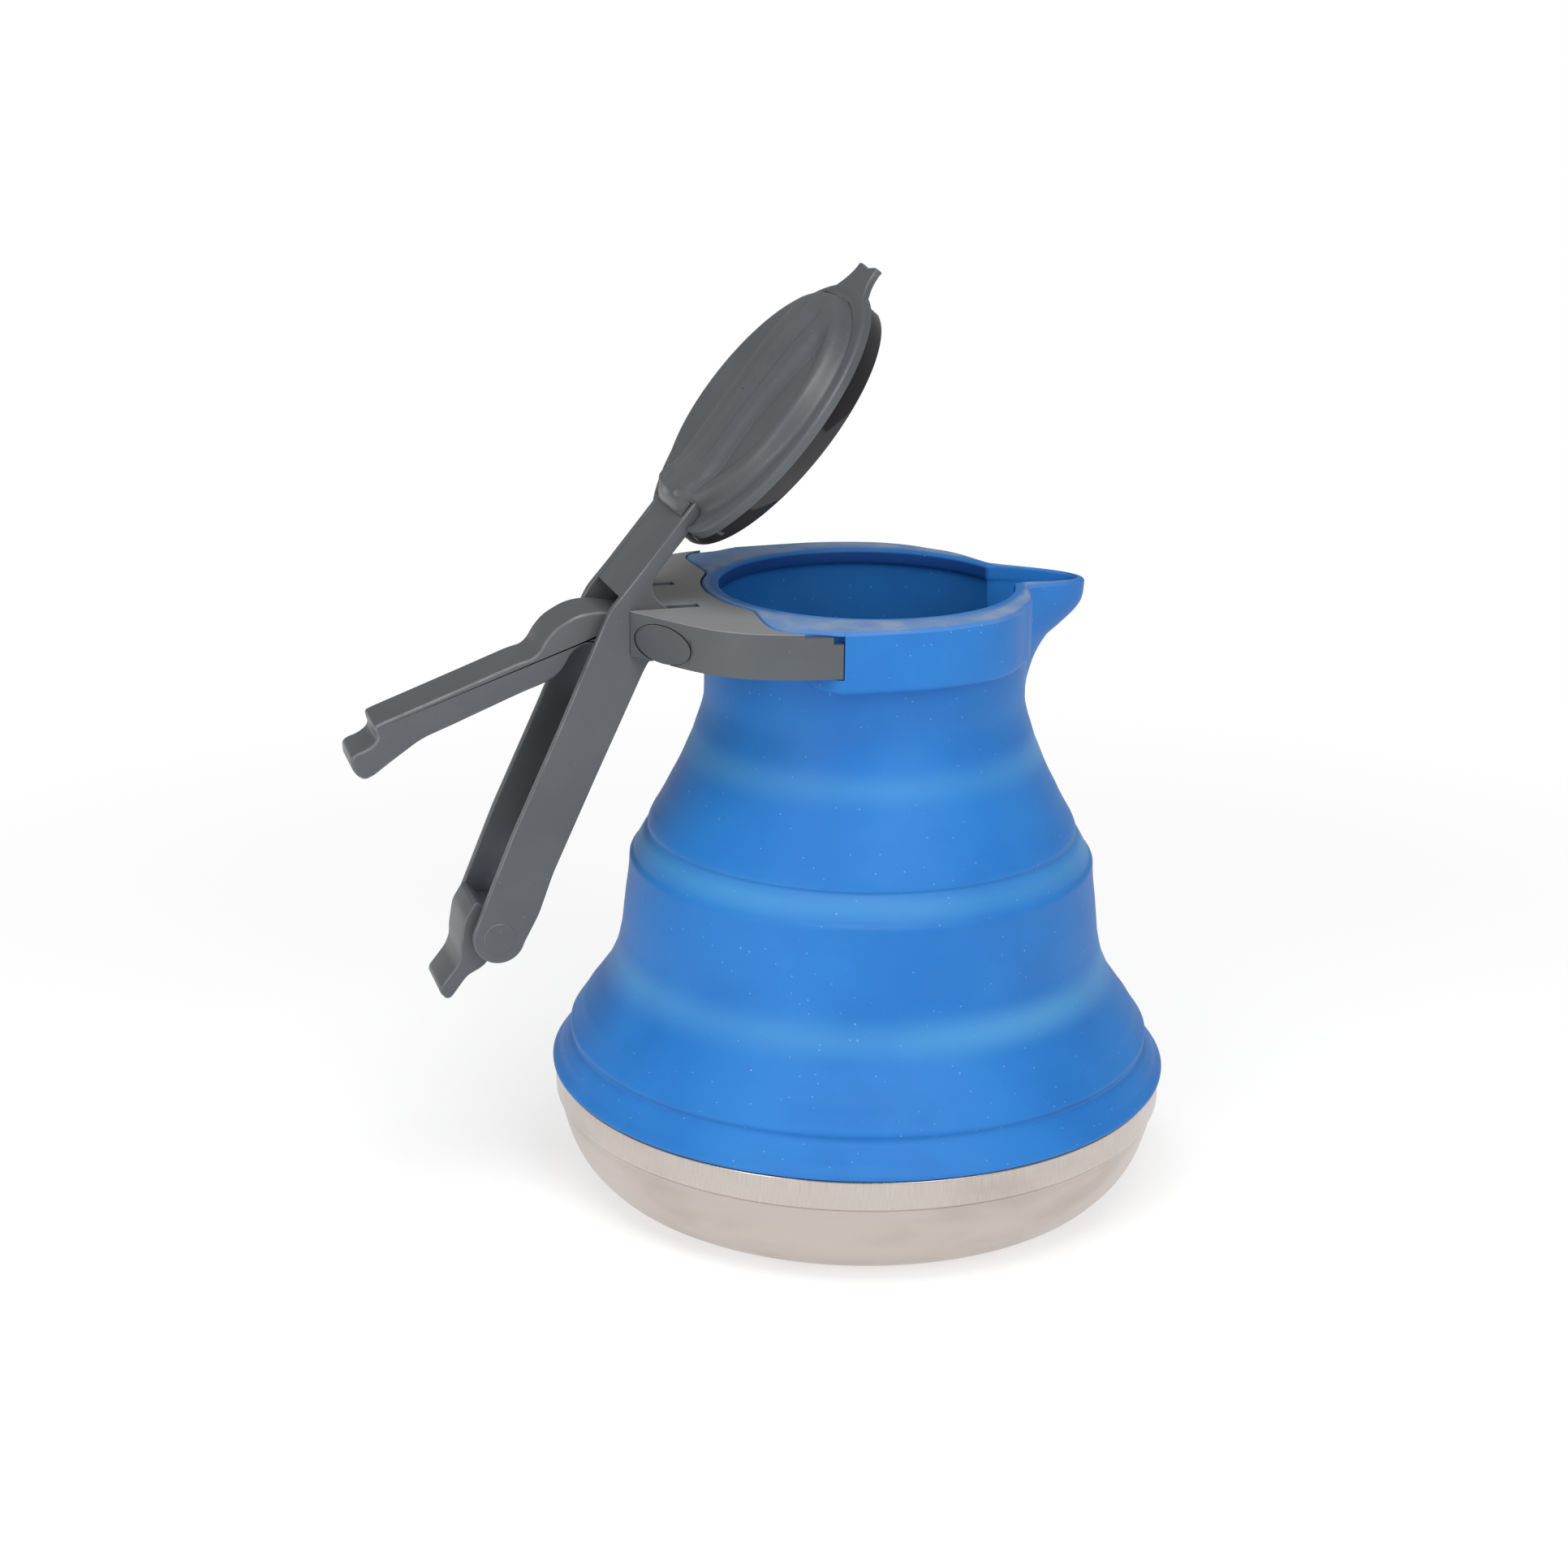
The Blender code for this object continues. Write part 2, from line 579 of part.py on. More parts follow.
def build_collar():
    """Neck band, ears, lip and spout as one silicone moulding."""
    upper, lower = collar_lines()
    half = collar_angles(upper, lower)
    turn = mirrored_turn(half)
    away = np.abs(turn)
    front = np.full(len(turn), NECK_RADIUS)
    corner_angle = np.arctan2(EAR_CORNER_Y, EAR_CORNER_X)
    corner_radius = np.hypot(EAR_CORNER_X, EAR_CORNER_Y)
    ramp = np.clip((away - SPOUT_HALF_ANGLE) / (corner_angle - SPOUT_HALF_ANGLE), 0.0, 1.0)
    front = NECK_RADIUS + (corner_radius - NECK_RADIUS) * ramp
    ear_up = np.where(away <= corner_angle, front, polar_radius(upper, away))
    ear_up = np.where(np.isnan(ear_up), COLLAR_BULGE_RADIUS, np.fmax(ear_up, NECK_RADIUS))
    ear_low = np.where(away <= corner_angle, front, polar_radius(lower, away))
    ear_low = np.where(np.isnan(ear_low), NECK_RADIUS, np.fmax(ear_low, NECK_RADIUS))
    ear_up = np.where(away > COLLAR_BULGE_ANGLE, COLLAR_BULGE_RADIUS, ear_up)
    bump = spout_bump(turn)
    step_level = YOKE_BASE_LEVEL - GAP
    neck_low = NECK_LEVEL + GAP / 2

    def outside(base, level):
        return base + np.maximum(spout_reach(level) - NECK_RADIUS, 0.0) * bump

    def inside(base, level, share=1.0):
        room = np.maximum(spout_reach(level) - SPOUT_WALL - base, 0.0)
        narrow = np.clip((bump - 0.12) / 0.88, 0.0, 1.0)
        return base + room * narrow * share

    def level_row(radius, level):
        along = np.clip((radius - NECK_RADIUS) / (SPOUT_REACH - NECK_RADIUS), 0.0, 1.0)
        droop = SPOUT_DROOP * along * (bump > 0)
        fall = droop * np.clip((level - EAR_BASE_LEVEL) / (COLLAR_TOP_LEVEL - EAR_BASE_LEVEL), 0.0, 1.0)
        return np.stack([radius * np.cos(turn), radius * np.sin(turn), level - fall], axis=1)

    rows = []
    neck_inner = []
    for fall, rise in NECK_OUTER_SHARES[:-1]:
        level = neck_low + (EAR_BASE_LEVEL - neck_low) * rise
        radius = NECK_FOOT_RADIUS + (NECK_RADIUS - NECK_FOOT_RADIUS) * fall
        rows.append(level_row(outside(np.full(len(turn), radius), level), level))
        neck_inner.append((radius - SILICONE_WALL, level))
    rows.append(
        level_row(outside(np.maximum(ear_low - EAR_ROUND, NECK_RADIUS), EAR_BASE_LEVEL), EAR_BASE_LEVEL)
    )
    round_level = EAR_BASE_LEVEL + EAR_ROUND
    rows.append(level_row(outside(ear_low, round_level), round_level))
    rows.append(level_row(outside(ear_low, step_level), step_level))
    rows.append(level_row(outside(ear_up, step_level + MERGE), step_level + MERGE))
    mid_level = (step_level + COLLAR_TOP_LEVEL) / 2
    rows.append(level_row(outside(ear_up, mid_level), mid_level))
    top_level = COLLAR_TOP_LEVEL - EAR_ROUND / 2
    rows.append(level_row(outside(ear_up, top_level), top_level))
    rows.append(level_row(outside(ear_up, COLLAR_TOP_LEVEL) - EAR_ROUND / 2, COLLAR_TOP_LEVEL))
    lip = np.full(len(turn), OPENING_RADIUS)
    deep = lip + LIP_OVERHANG
    rows.append(level_row(inside(lip + LIP_ROUND, COLLAR_TOP_LEVEL), COLLAR_TOP_LEVEL))
    rows.append(level_row(inside(lip, COLLAR_TOP_LEVEL), COLLAR_TOP_LEVEL - LIP_ROUND))
    lip_level = COLLAR_TOP_LEVEL - LIP_DEPTH
    rows.append(level_row(inside(lip, lip_level), lip_level))
    rows.append(level_row(inside(deep, lip_level), lip_level - LIP_ROUND))
    for share in (0.72, 0.46, 0.24):
        level = EAR_BASE_LEVEL + (lip_level - EAR_BASE_LEVEL) * share
        rows.append(level_row(inside(deep, level), level))
    for radius, level in neck_inner[::-1]:
        in_neck = level < EAR_BASE_LEVEL - EAR_ROUND
        base = np.full(len(turn), radius if in_neck else OPENING_RADIUS + LIP_OVERHANG)
        rows.append(level_row(inside(base, level), level))
    return finished(ring_shell("collar", rows), "silicone_collar", "blue_silicone")


def both_sides(line):
    """A half outline on the -Y side, closed by its mirror on the +Y side."""
    line = np.asarray(line, float)
    return np.concatenate([line, line[::-1] * (1.0, -1.0)])


def build_yoke():
    """Bracket clipped round the back of the collar, with the hinge cheeks and the lever's two slots."""
    side = yoke_side()
    bulge = COLLAR_BULGE_RADIUS + GAP
    rear_inner_y = EAR_REAR_X * np.tan(radians(180.0) - COLLAR_BULGE_ANGLE)
    front_x = EAR_REAR_X + GAP
    front = (-front_x, np.interp(-front_x, side[:, 0], side[:, 1]))
    solid_line = np.array([tuple(p) for p in side if p[0] < -front_x] + [front])
    body = prism("yoke", both_sides(solid_line), YOKE_BASE_LEVEL, YOKE_TOP_LEVEL)
    bulge_line = round_outline((0.0, 0.0), bulge, PAN_SEGMENTS)
    cut(body, prism("bulge", bulge_line, YOKE_BASE_LEVEL - GAP, YOKE_TOP_LEVEL + GAP))
    pocket_outer = inset(side, YOKE_WALL)
    wall_x = bulge + YOKE_WALL
    pocket_line = [tuple(p) for p in pocket_outer if -YOKE_CHEEK_FRONT_X < p[0] < -front_x - YOKE_WALL]
    first = (-YOKE_CHEEK_FRONT_X, np.interp(-YOKE_CHEEK_FRONT_X, pocket_outer[:, 0], pocket_outer[:, 1]))
    last_x = -front_x - YOKE_WALL
    last = (last_x, np.interp(last_x, pocket_outer[:, 0], pocket_outer[:, 1]))
    inner_y = -YOKE_REAR_Y - YOKE_WALL
    for mirror in (1.0, -1.0):
        corner = (last_x, -rear_inner_y - GAP)
        end = (-wall_x + YOKE_WALL / 2, inner_y)
        line = np.array([(-YOKE_CHEEK_FRONT_X, inner_y), first, *pocket_line, last, corner, end])
        line[:, 1] *= mirror
        pocket = prism("pocket", line, YOKE_BASE_LEVEL - GAP, YOKE_TOP_LEVEL - YOKE_PLATE)
        cut(body, pocket)
    half = LEVER_HALF_WIDTH + RUNNING_CLEARANCE
    rear_x = -YOKE_REAR_X - YOKE_WALL
    slot_top = YOKE_TOP_LEVEL + GAP
    core_low = (rear_x, -half, YOKE_BASE_LEVEL - GAP)
    core_high = (-wall_x, half, YOKE_TOP_LEVEL - YOKE_PLATE)
    cut(body, box("core", core_low, core_high))
    tongue_half = LEVER_HALF_WIDTH - LEVER_WALL - RUNNING_CLEARANCE
    for low, high in ((-half, -tongue_half), (tongue_half, half)):
        slot = box("slot", (rear_x, low, YOKE_BASE_LEVEL), (-YOKE_SLOT_FRONT_X, high, slot_top))
        cut(body, slot)
    end_low = (rear_x, -tongue_half - GAP, YOKE_BASE_LEVEL)
    end_high = (-YOKE_TONGUE_REAR_X, tongue_half + GAP, slot_top)
    cut(body, box("tongue_end", end_low, end_high))
    for mirror in (1.0, -1.0):
        outer = np.array([tuple(p) for p in side if p[0] > -front_x - YOKE_WALL])
        inner = inset(side, YOKE_WALL)
        inner = np.array([tuple(p) for p in inner if p[0] > -front_x - YOKE_WALL])
        inner[-1, 0] = -YOKE_CLIP_X
        strip = np.concatenate([outer, inner[::-1]]) * (1.0, mirror)
        clip = prism("clip", strip, YOKE_BASE_LEVEL, YOKE_TOP_LEVEL)
        tooth_y = sorted((mirror * (-EAR_HALF_WIDTH - GAP), mirror * (-EAR_HALF_WIDTH + 2 * YOKE_WALL)))
        tooth_low = (-YOKE_CLIP_X - YOKE_TOOTH_LENGTH, tooth_y[0], YOKE_TOP_LEVEL - YOKE_TOOTH_HEIGHT)
        tooth_high = (-YOKE_CLIP_X + GAP, tooth_y[1], slot_top)
        cut(clip, box("tooth", tooth_low, tooth_high))
        joined(body, clip)
    bore_end = EAR_HALF_WIDTH
    cut(body, cylinder_y("bore", HINGE, HINGE_HEAD_RADIUS + RUNNING_CLEARANCE, -bore_end, bore_end))
    return finished(body, "yoke", "grey_plastic")


def build_hinge_pins():
    """Two headed pins, each from the outside of a cheek to the middle of the arm's barrel."""
    for name, side in (("hinge_pin_right", -1.0), ("hinge_pin_left", 1.0)):
        turn = angles(ROUND_SEGMENTS)
        shank_start = HINGE_SHANK_END_Y
        face = LEVER_HALF_WIDTH + RUNNING_CLEARANCE
        rows = []
        for radius, reach in (
            (HINGE_SHANK_RADIUS, shank_start), (HINGE_SHANK_RADIUS, face), (HINGE_HEAD_RADIUS, face)
        ):
            rows.append(
                np.stack([radius * np.cos(turn), np.full(len(turn), reach), radius * np.sin(turn)], axis=1)
            )
        x = HINGE_HEAD_RADIUS * np.cos(turn)
        slant = np.maximum(HINGE_HEAD_Y + x * HINGE_HEAD_SLANT, face + FINE_EDGE_ROUND)
        rows.append(np.stack([x, slant, HINGE_HEAD_RADIUS * np.sin(turn)], axis=1))
        points = np.concatenate(rows)
        points[:, 1] *= side
        count = len(turn)
        faces = [tuple(range(count)), tuple(range(len(points) - 1, len(points) - 1 - count, -1))]
        for i in range(len(rows) - 1):
            for j in range(count):
                k = (j + 1) % count
                faces.append((i * count + j, i * count + k, (i + 1) * count + k, (i + 1) * count + j))
        finished(mesh_object(name, points + HINGE, faces), name, "grey_plastic")


def hinge_points(shares, reach):
    """(x, z) points drawn from the hinge in shares of a reach."""
    return [(HINGE[0] + reach * a, HINGE[2] + reach * b) for a, b in shares]


def turned_open(obj, angle):
    """Turn an object's mesh about the hinge axis, from lid closed to lid open."""
    points = np.empty(len(obj.data.vertices) * 3)
    obj.data.vertices.foreach_get("co", points)
    points = points.reshape(-1, 3) - HINGE
    c, s = np.cos(angle), np.sin(angle)
    x = points[:, 0] * c - points[:, 2] * s
    z = points[:, 0] * s + points[:, 2] * c
    points = np.stack([x, points[:, 1], z], axis=1) + HINGE
    obj.data.vertices.foreach_set("co", points.ravel())
    obj.data.update()
    return obj


def build_lever():
    """Lid lever: two side walls, the web that cups the arm and the neck plate under the lid's nose."""
    pin = (LATCH_PIN[0], LATCH_PIN[2])
    top = hinge_points(NECK_TOP_SHARES, NECK_REACH) + hinge_points(LEVER_TOP_SHARES, LEVER_REACH)
    low = hinge_points(LEVER_LOW_SHARES, LEVER_REACH)
    neck = hinge_points(NECK_LOW_SHARES, NECK_REACH)
    end = round_outline(pin, LEVER_END_RADIUS, 13, LEVER_END_START_ANGLE, LEVER_END_TURN)
    hinge = (HINGE[0], HINGE[2])
    boss = round_outline(hinge, LEVER_BOSS_RADIUS, 11, LEVER_BOSS_START_ANGLE, LEVER_BOSS_TURN)
    outline = top + [*map(tuple, end)] + low + [*map(tuple, boss)] + neck
    walls = []
    for low_y in (-LEVER_HALF_WIDTH, LEVER_HALF_WIDTH - LEVER_WALL):
        wall = prism("wall", outline, low_y, low_y + LEVER_WALL, axis="Y")
        walls.append(bevelled(wall, FINE_EDGE_ROUND, 1))
    lever = walls[0]
    low_line = np.array(hinge_points(LEVER_LOW_SHARES, LEVER_REACH))[::-1]
    reach = np.hypot(low_line[:, 0] - HINGE[0], low_line[:, 1] - HINGE[2])
    at = np.linspace(LEVER_WEB_START_SHARE, LEVER_WEB_END_SHARE, 6) * LEVER_REACH
    under = np.stack([np.interp(at, reach, low_line[:, 0]), np.interp(at, reach, low_line[:, 1])], axis=1)
    along = np.gradient(under, axis=0)
    along /= np.linalg.norm(along, axis=1)[:, None]
    inward = np.stack([along[:, 1], -along[:, 0]], axis=1)
    over = under + LEVER_WEB * inward
    under = under + LEVER_WEB_INSET * inward
    inner_half = LEVER_HALF_WIDTH - LEVER_WALL / 2
    web = prism("web", np.concatenate([under, over[::-1]]), -inner_half, inner_half, axis="Y")
    start, stop = (np.array(p) for p in hinge_points(NECK_WEB_SHARES, NECK_REACH))
    line = (stop - start) / np.linalg.norm(stop - start)
    down = np.array((line[1], -line[0]))
    stop = stop - line * LEVER_WEB_INSET
    upper, lower = down * LEVER_WEB_INSET, down * LEVER_NECK_PLATE
    plate_line = (start + upper, stop + upper, stop + lower, start + lower)
    plate = prism("plate", plate_line, -inner_half, inner_half, axis="Y")
    joined(lever, web, plate, walls[1])
    bored(lever, HINGE, HINGE_SHANK_RADIUS + RUNNING_CLEARANCE)
    bored(lever, LATCH_PIN, LATCH_PIN_HEAD_RADIUS + RUNNING_CLEARANCE)
    return finished(lever, "lid_lever", "grey_plastic", HINGE)


def build_arm():
    """Carry arm: barrel on the hinge, humped root, straight grip and stepped nose."""
    outline = hinge_points(ARM_TOP_SHARES, ARM_REACH) + hinge_points(ARM_LOW_SHARES, ARM_REACH)
    arm = bevelled(prism("arm", outline, -ARM_HALF_WIDTH, ARM_HALF_WIDTH, axis="Y"), EDGE_ROUND)
    barrel_half = ARM_BARREL_HALF_WIDTH
    joined(arm, cylinder_y("barrel", HINGE, ARM_BARREL_RADIUS, -barrel_half, barrel_half))
    bored(arm, HINGE, HINGE_SHANK_RADIUS + RUNNING_CLEARANCE)
    return finished(arm, "carry_arm", "grey_plastic", HINGE)


def build_latch():
    """Latch hook with its thumb tab, and the pin that carries it across the lever."""
    points = np.array(LATCH_SHARES) * LATCH_REACH
    c, s = np.cos(LID_OPEN_ANGLE), np.sin(LID_OPEN_ANGLE)
    points = np.stack([points[:, 0] * c - points[:, 1] * s, points[:, 0] * s + points[:, 1] * c], axis=1)
    points += (LATCH_PIN[0], LATCH_PIN[2])
    latch = bevelled(prism("latch", points, -LATCH_HALF_WIDTH, LATCH_HALF_WIDTH, axis="Y"), EDGE_ROUND)
    barrel_half = LEVER_HALF_WIDTH - LEVER_WALL - RUNNING_CLEARANCE
    joined(latch, cylinder_y("barrel", LATCH_PIN, LATCH_BARREL_RADIUS, -barrel_half, barrel_half))
    bored(latch, LATCH_PIN, LATCH_PIN_RADIUS + RUNNING_CLEARANCE)
    finished(latch, "latch", "grey_plastic", LATCH_PIN)
    head = LEVER_HALF_WIDTH - LEVER_WALL + GAP
    pin = cylinder_y("pin", LATCH_PIN, LATCH_PIN_HEAD_RADIUS, -LEVER_HALF_WIDTH, -head)
    joined(pin, cylinder_y("shank", LATCH_PIN, LATCH_PIN_RADIUS, -head - GAP, head + GAP, SMALL_SEGMENTS))
    joined(pin, cylinder_y("head", LATCH_PIN, LATCH_PIN_HEAD_RADIUS, head, LEVER_HALF_WIDTH))
    return finished(pin, "latch_pin", "grey_plastic")


def lid_height(y, dome_share, ridge_share):
    """Height of the lid's top over its edge, with the wide ridge that runs along X."""
    ends = (0.0, LID_RIDGE_HALF_WIDTH, LID_RIDGE_HALF_WIDTH + LID_RIDGE_FADE)
    ridge = LID_RIDGE_HEIGHT * np.interp(np.abs(y), ends, (1.0, 0.72, 0.0))
    return LID_DOME_HEIGHT * dome_share + ridge * ridge_share


def build_lid():
    """Lid cover with its ridge, nose, vent and thumb tab, and the dark plug under it."""
    count = LID_SEGMENTS
    turn = angles(count)
    tops, unders = [], []
    for share, moved, dome_share, ridge_share in zip(
        LID_RING_SHARES, LID_SHIFT_SHARES, LID_DOME_SHARES, LID_RIDGE_SHARES
    ):
        centre_x = LID_SHIFT_X + moved * LID_DOME_SHIFT
        y = share * LID_RADIUS * np.sin(turn)
        height = lid_height(y, dome_share, ridge_share)
        for rows, reach, level in (
            (tops, share * LID_RADIUS, height),
            (unders, np.minimum(share * LID_RADIUS, LID_RADIUS - LID_SKIN), height - LID_SKIN),
        ):
            rows.append(np.stack([centre_x + reach * np.cos(turn), reach * np.sin(turn), level], axis=1))
    unders[-1][:, 2] = 0.0
    edge = tops[-1].copy()
    edge[:, 2] = 0.0
    rows = tops + [edge] + unders[::-1]
    dome_x = LID_SHIFT_X + LID_DOME_SHIFT
    centre_top = np.array([(dome_x, 0.0, LID_DOME_HEIGHT + LID_RIDGE_HEIGHT)])
    centre_under = centre_top - (0.0, 0.0, LID_SKIN)
    points = np.concatenate(rows + [centre_top, centre_under]) + (0.0, 0.0, LID_EDGE_LEVEL)
    faces = []
    for i in range(len(rows) - 1):
        for j in range(count):
            k = (j + 1) % count
            faces.append((i * count + j, i * count + k, (i + 1) * count + k, (i + 1) * count + j))
    apex = len(rows) * count
    last = (len(rows) - 1) * count
    for j in range(count):
        k = (j + 1) % count
        faces.append((k, j, apex))
        faces.append((last + j, last + k, apex + 1))
    cover = mesh_object("cover", points, faces)
    neck = np.array(NECK_WEB_SHARES[1]) * NECK_REACH
    c, s = np.cos(LID_OPEN_ANGLE), np.sin(LID_OPEN_ANGLE)
    neck_end = HINGE[0] + neck[0] * c + neck[1] * s
    neck_top = HINGE_LEVEL + neck[1] * c - neck[0] * s
    nose_low = (-LID_NOSE_X, -LID_NOSE_HALF_WIDTH, neck_top + GAP)
    nose = box("nose", nose_low, (LID_NOSE_LENGTH - LID_NOSE_X, LID_NOSE_HALF_WIDTH, LID_NOSE_LEVEL))
    bevelled(nose, LID_NOSE_ROUND, 3)
    joined(cover, nose)
    half = LEVER_HALF_WIDTH + RUNNING_CLEARANCE
    beyond = LID_RADIUS + LID_SKIN - LID_SHIFT_X
    behind = (-beyond, -half, LID_EDGE_LEVEL - GAP)
    cut(cover, box("gap", behind, (-LID_NOSE_X, half, LID_NOSE_LEVEL)))
    cut(cover, box("pocket", behind, (neck_end + GAP, half, neck_top + GAP)))
    cut(cover, box("rear", (-beyond, -beyond, LID_EDGE_LEVEL - GAP), (-LID_REAR_X, beyond, LID_NOSE_LEVEL)))
    along = np.array(LID_TAB_ALONG_SHARES)[:, None]
    aside = np.array(LID_TAB_WIDTH_SHARES)[:, None] * LID_TAB_HALF_WIDTH
    side = np.hstack([LID_TAB_ROOT_X + along * (LID_TAB_REACH - LID_TAB_ROOT_X), aside])
    notch = np.array([(LID_TAB_REACH - LID_TAB_NOTCH, 0.0)])
    tab = np.concatenate([side * (1.0, -1.0), notch, side[::-1]])
    tab_base = LID_EDGE_LEVEL + LID_TAB_RISE
    joined(cover, bevelled(prism("tab", tab, tab_base, tab_base + LID_TAB_THICKNESS), FINE_EDGE_ROUND, 1))
    vent_line = round_outline((dome_x, 0.0), LID_VENT_RADIUS, SMALL_SEGMENTS)
    cut(cover, prism("vent", vent_line, LID_EDGE_LEVEL, LID_NOSE_LEVEL + GAP))
    finished(turned_open(cover, LID_OPEN_ANGLE), "lid_cover", "grey_plastic", HINGE)
    plate_low = COLLAR_TOP_LEVEL + PLUG_SEAT_GAP
    plate_high = plate_low + PLUG_PLATE
    plug_low = COLLAR_TOP_LEVEL - PLUG_DEPTH
    below = COLLAR_TOP_LEVEL - 2 * PLUG_DEPTH
    plug = disc("plate", PLUG_SHIFT_X, PLUG_FLANGE_RADIUS - PLUG_SHIFT_X, plate_low, plate_high)
    wall = disc("wall", PLUG_SHIFT_X, PLUG_RADIUS, plug_low, plate_low + GAP)
    cut(wall, disc("hollow", PLUG_SHIFT_X, PLUG_RADIUS - PLUG_WALL, below, plate_low + 2 * GAP))
    pour_low = (0.0, -PLUG_POUR_HALF_WIDTH, below)
    pour_high = (PLUG_FLANGE_RADIUS, PLUG_POUR_HALF_WIDTH, COLLAR_TOP_LEVEL - LID_SEAT_GAP)
    cut(wall, box("pour", pour_low, pour_high))
    joined(plug, wall)
    finished(turned_open(plug, LID_OPEN_ANGLE), "lid_plug", "dark_plastic", HINGE)


def main():
    """Build every piece."""
    clear_scene()
    build_pan()
    build_base_rings()
    build_bands()
    build_collar()
    build_yoke()
    build_hinge_pins()
    build_lever()
    build_arm()
    build_latch()
    build_lid()


main()
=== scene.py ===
"""Looks of the collapsible kettle: surfaces, materials, floor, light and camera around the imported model.

Lengths are written in millimetres in the part's frame and multiplied by MM when a mesh is made.
"""

import logging
import math
from dataclasses import dataclass, field
from enum import Enum

import bmesh
import bpy
import numpy as np
from mathutils import Matrix


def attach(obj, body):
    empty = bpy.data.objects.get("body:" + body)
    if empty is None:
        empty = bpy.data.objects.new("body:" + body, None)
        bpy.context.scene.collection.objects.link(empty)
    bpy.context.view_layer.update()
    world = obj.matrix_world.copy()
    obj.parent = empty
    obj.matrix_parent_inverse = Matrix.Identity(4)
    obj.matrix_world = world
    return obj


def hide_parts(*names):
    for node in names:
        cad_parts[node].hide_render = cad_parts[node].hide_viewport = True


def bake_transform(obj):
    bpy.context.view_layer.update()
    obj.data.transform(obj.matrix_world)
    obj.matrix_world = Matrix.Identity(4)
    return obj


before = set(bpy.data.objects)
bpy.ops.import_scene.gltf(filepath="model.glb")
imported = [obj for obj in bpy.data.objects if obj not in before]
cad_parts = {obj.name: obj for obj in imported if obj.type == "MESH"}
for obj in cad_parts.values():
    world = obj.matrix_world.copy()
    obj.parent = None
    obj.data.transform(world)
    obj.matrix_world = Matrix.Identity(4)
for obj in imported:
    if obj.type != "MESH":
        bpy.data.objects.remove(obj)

LOG = logging.getLogger("kettle")
MM = 0.001
TURN = 2.0 * math.pi
HINGE = np.array((-66.6, 0.0, 171.0))
LATCH_PIN = np.array((-110.4, 0.0, 86.9))
LID_ANGLE = math.radians(50.8)


class Axis(Enum):
    """Direction along which a plate outline is thickened."""

    Y = "y"
    Z = "z"


class Shading(Enum):
    """Angle in degrees above which a mesh's edge is shaded sharp."""

    SMOOTH = 60.0
    CRISP = 34.0


# Curves and grids


def curve_through(points: np.ndarray, per_span: int) -> np.ndarray:
    """Smooth line through points.

    Each span is the cubic that passes its two ends with the slope of the chord between their neighbours.

    Args:
        points: (n, k) points.
        per_span: samples per span.

    Returns:
        ((n - 1) * per_span + 1, k) points.
    """
    p = np.asarray(points, float)
    padded = np.concatenate([2 * p[:1] - p[1:2], p, 2 * p[-1:] - p[-2:-1]])
    a, b, c, d = padded[:-3, None], padded[1:-2, None], padded[2:-1, None], padded[3:, None]
    t = (np.arange(per_span) / per_span)[None, :, None]
    cubic = 0.5 * (2 * b + (c - a) * t + (2 * a - 5 * b + 4 * c - d) * t**2 + (3 * b - a - 3 * c + d) * t**3)
    return np.concatenate([cubic.reshape(-1, p.shape[1]), p[-1:]])


def filleted(points: np.ndarray, radius: float | np.ndarray, steps: int = 6) -> np.ndarray:
    """Closed outline with each corner rounded.

    A corner is replaced by the parabola that touches both its sides at the fillet distance, which is at most
    0.48 of the shorter side.

    Args:
        points: (n, 2) corners in order.
        radius: fillet distance, one or one per corner.
        steps: samples per corner.

    Returns:
        (n * steps, 2) points.
    """
    p = np.asarray(points, float)
    before, after = np.roll(p, 1, axis=0) - p, np.roll(p, -1, axis=0) - p
    near, far = np.linalg.norm(before, axis=1), np.linalg.norm(after, axis=1)
    reach = np.minimum(np.broadcast_to(radius, near.shape), 0.48 * np.minimum(near, far))
    start = p + before * (reach / near)[:, None]
    stop = p + after * (reach / far)[:, None]
    t = np.linspace(0.0, 1.0, steps)[None, :, None]
    bow = (1 - t) ** 2 * start[:, None] + 2 * t * (1 - t) * p[:, None] + t**2 * stop[:, None]
    return bow.reshape(-1, 2)


def arc(centre: tuple[float, float], radius: float, start: float, turn: float, count: int) -> np.ndarray:
    """Points on a circle: centre plus radius times the cosine and sine of evenly spaced angles in degrees."""
    at = np.radians(start + turn * np.linspace(0.0, 1.0, count))
    return np.stack([centre[0] + radius * np.cos(at), centre[1] + radius * np.sin(at)], axis=1)


def inset_outline(outline: np.ndarray, depth: float) -> np.ndarray:
    """Closed counter-clockwise outline moved inwards along its mitred normals by a depth.

    Args:
        outline: (n, 2) closed outline, counter-clockwise.
        depth: distance moved.

    Returns:
        (n, 2) points.
    """
    ahead = np.roll(outline, -1, axis=0) - outline
    ahead /= np.maximum(np.linalg.norm(ahead, axis=1), 1e-9)[:, None]
    behind = np.roll(ahead, 1, axis=0)
    normal = np.stack([-(ahead + behind)[:, 1], (ahead + behind)[:, 0]], axis=1)
    normal /= np.maximum(np.linalg.norm(normal, axis=1), 1e-9)[:, None]
    square = np.stack([-ahead[:, 1], ahead[:, 0]], axis=1)
    mitre = np.clip(np.abs(np.einsum("ij,ij->i", normal, square)), 0.55, 1.0)
    return outline + normal * (depth / mitre)[:, None]


def counter_clockwise(outline: np.ndarray) -> np.ndarray:
    """The outline in counter-clockwise order, by the sign of its shoelace area.

    Args:
        outline: (n, 2) closed outline in either order.

    Returns:
        The same points, reversed where needed.
    """
    nxt = np.roll(outline, -1, axis=0)
    area = np.sum(outline[:, 0] * nxt[:, 1] - nxt[:, 0] * outline[:, 1])
    return outline if area > 0 else outline[::-1]


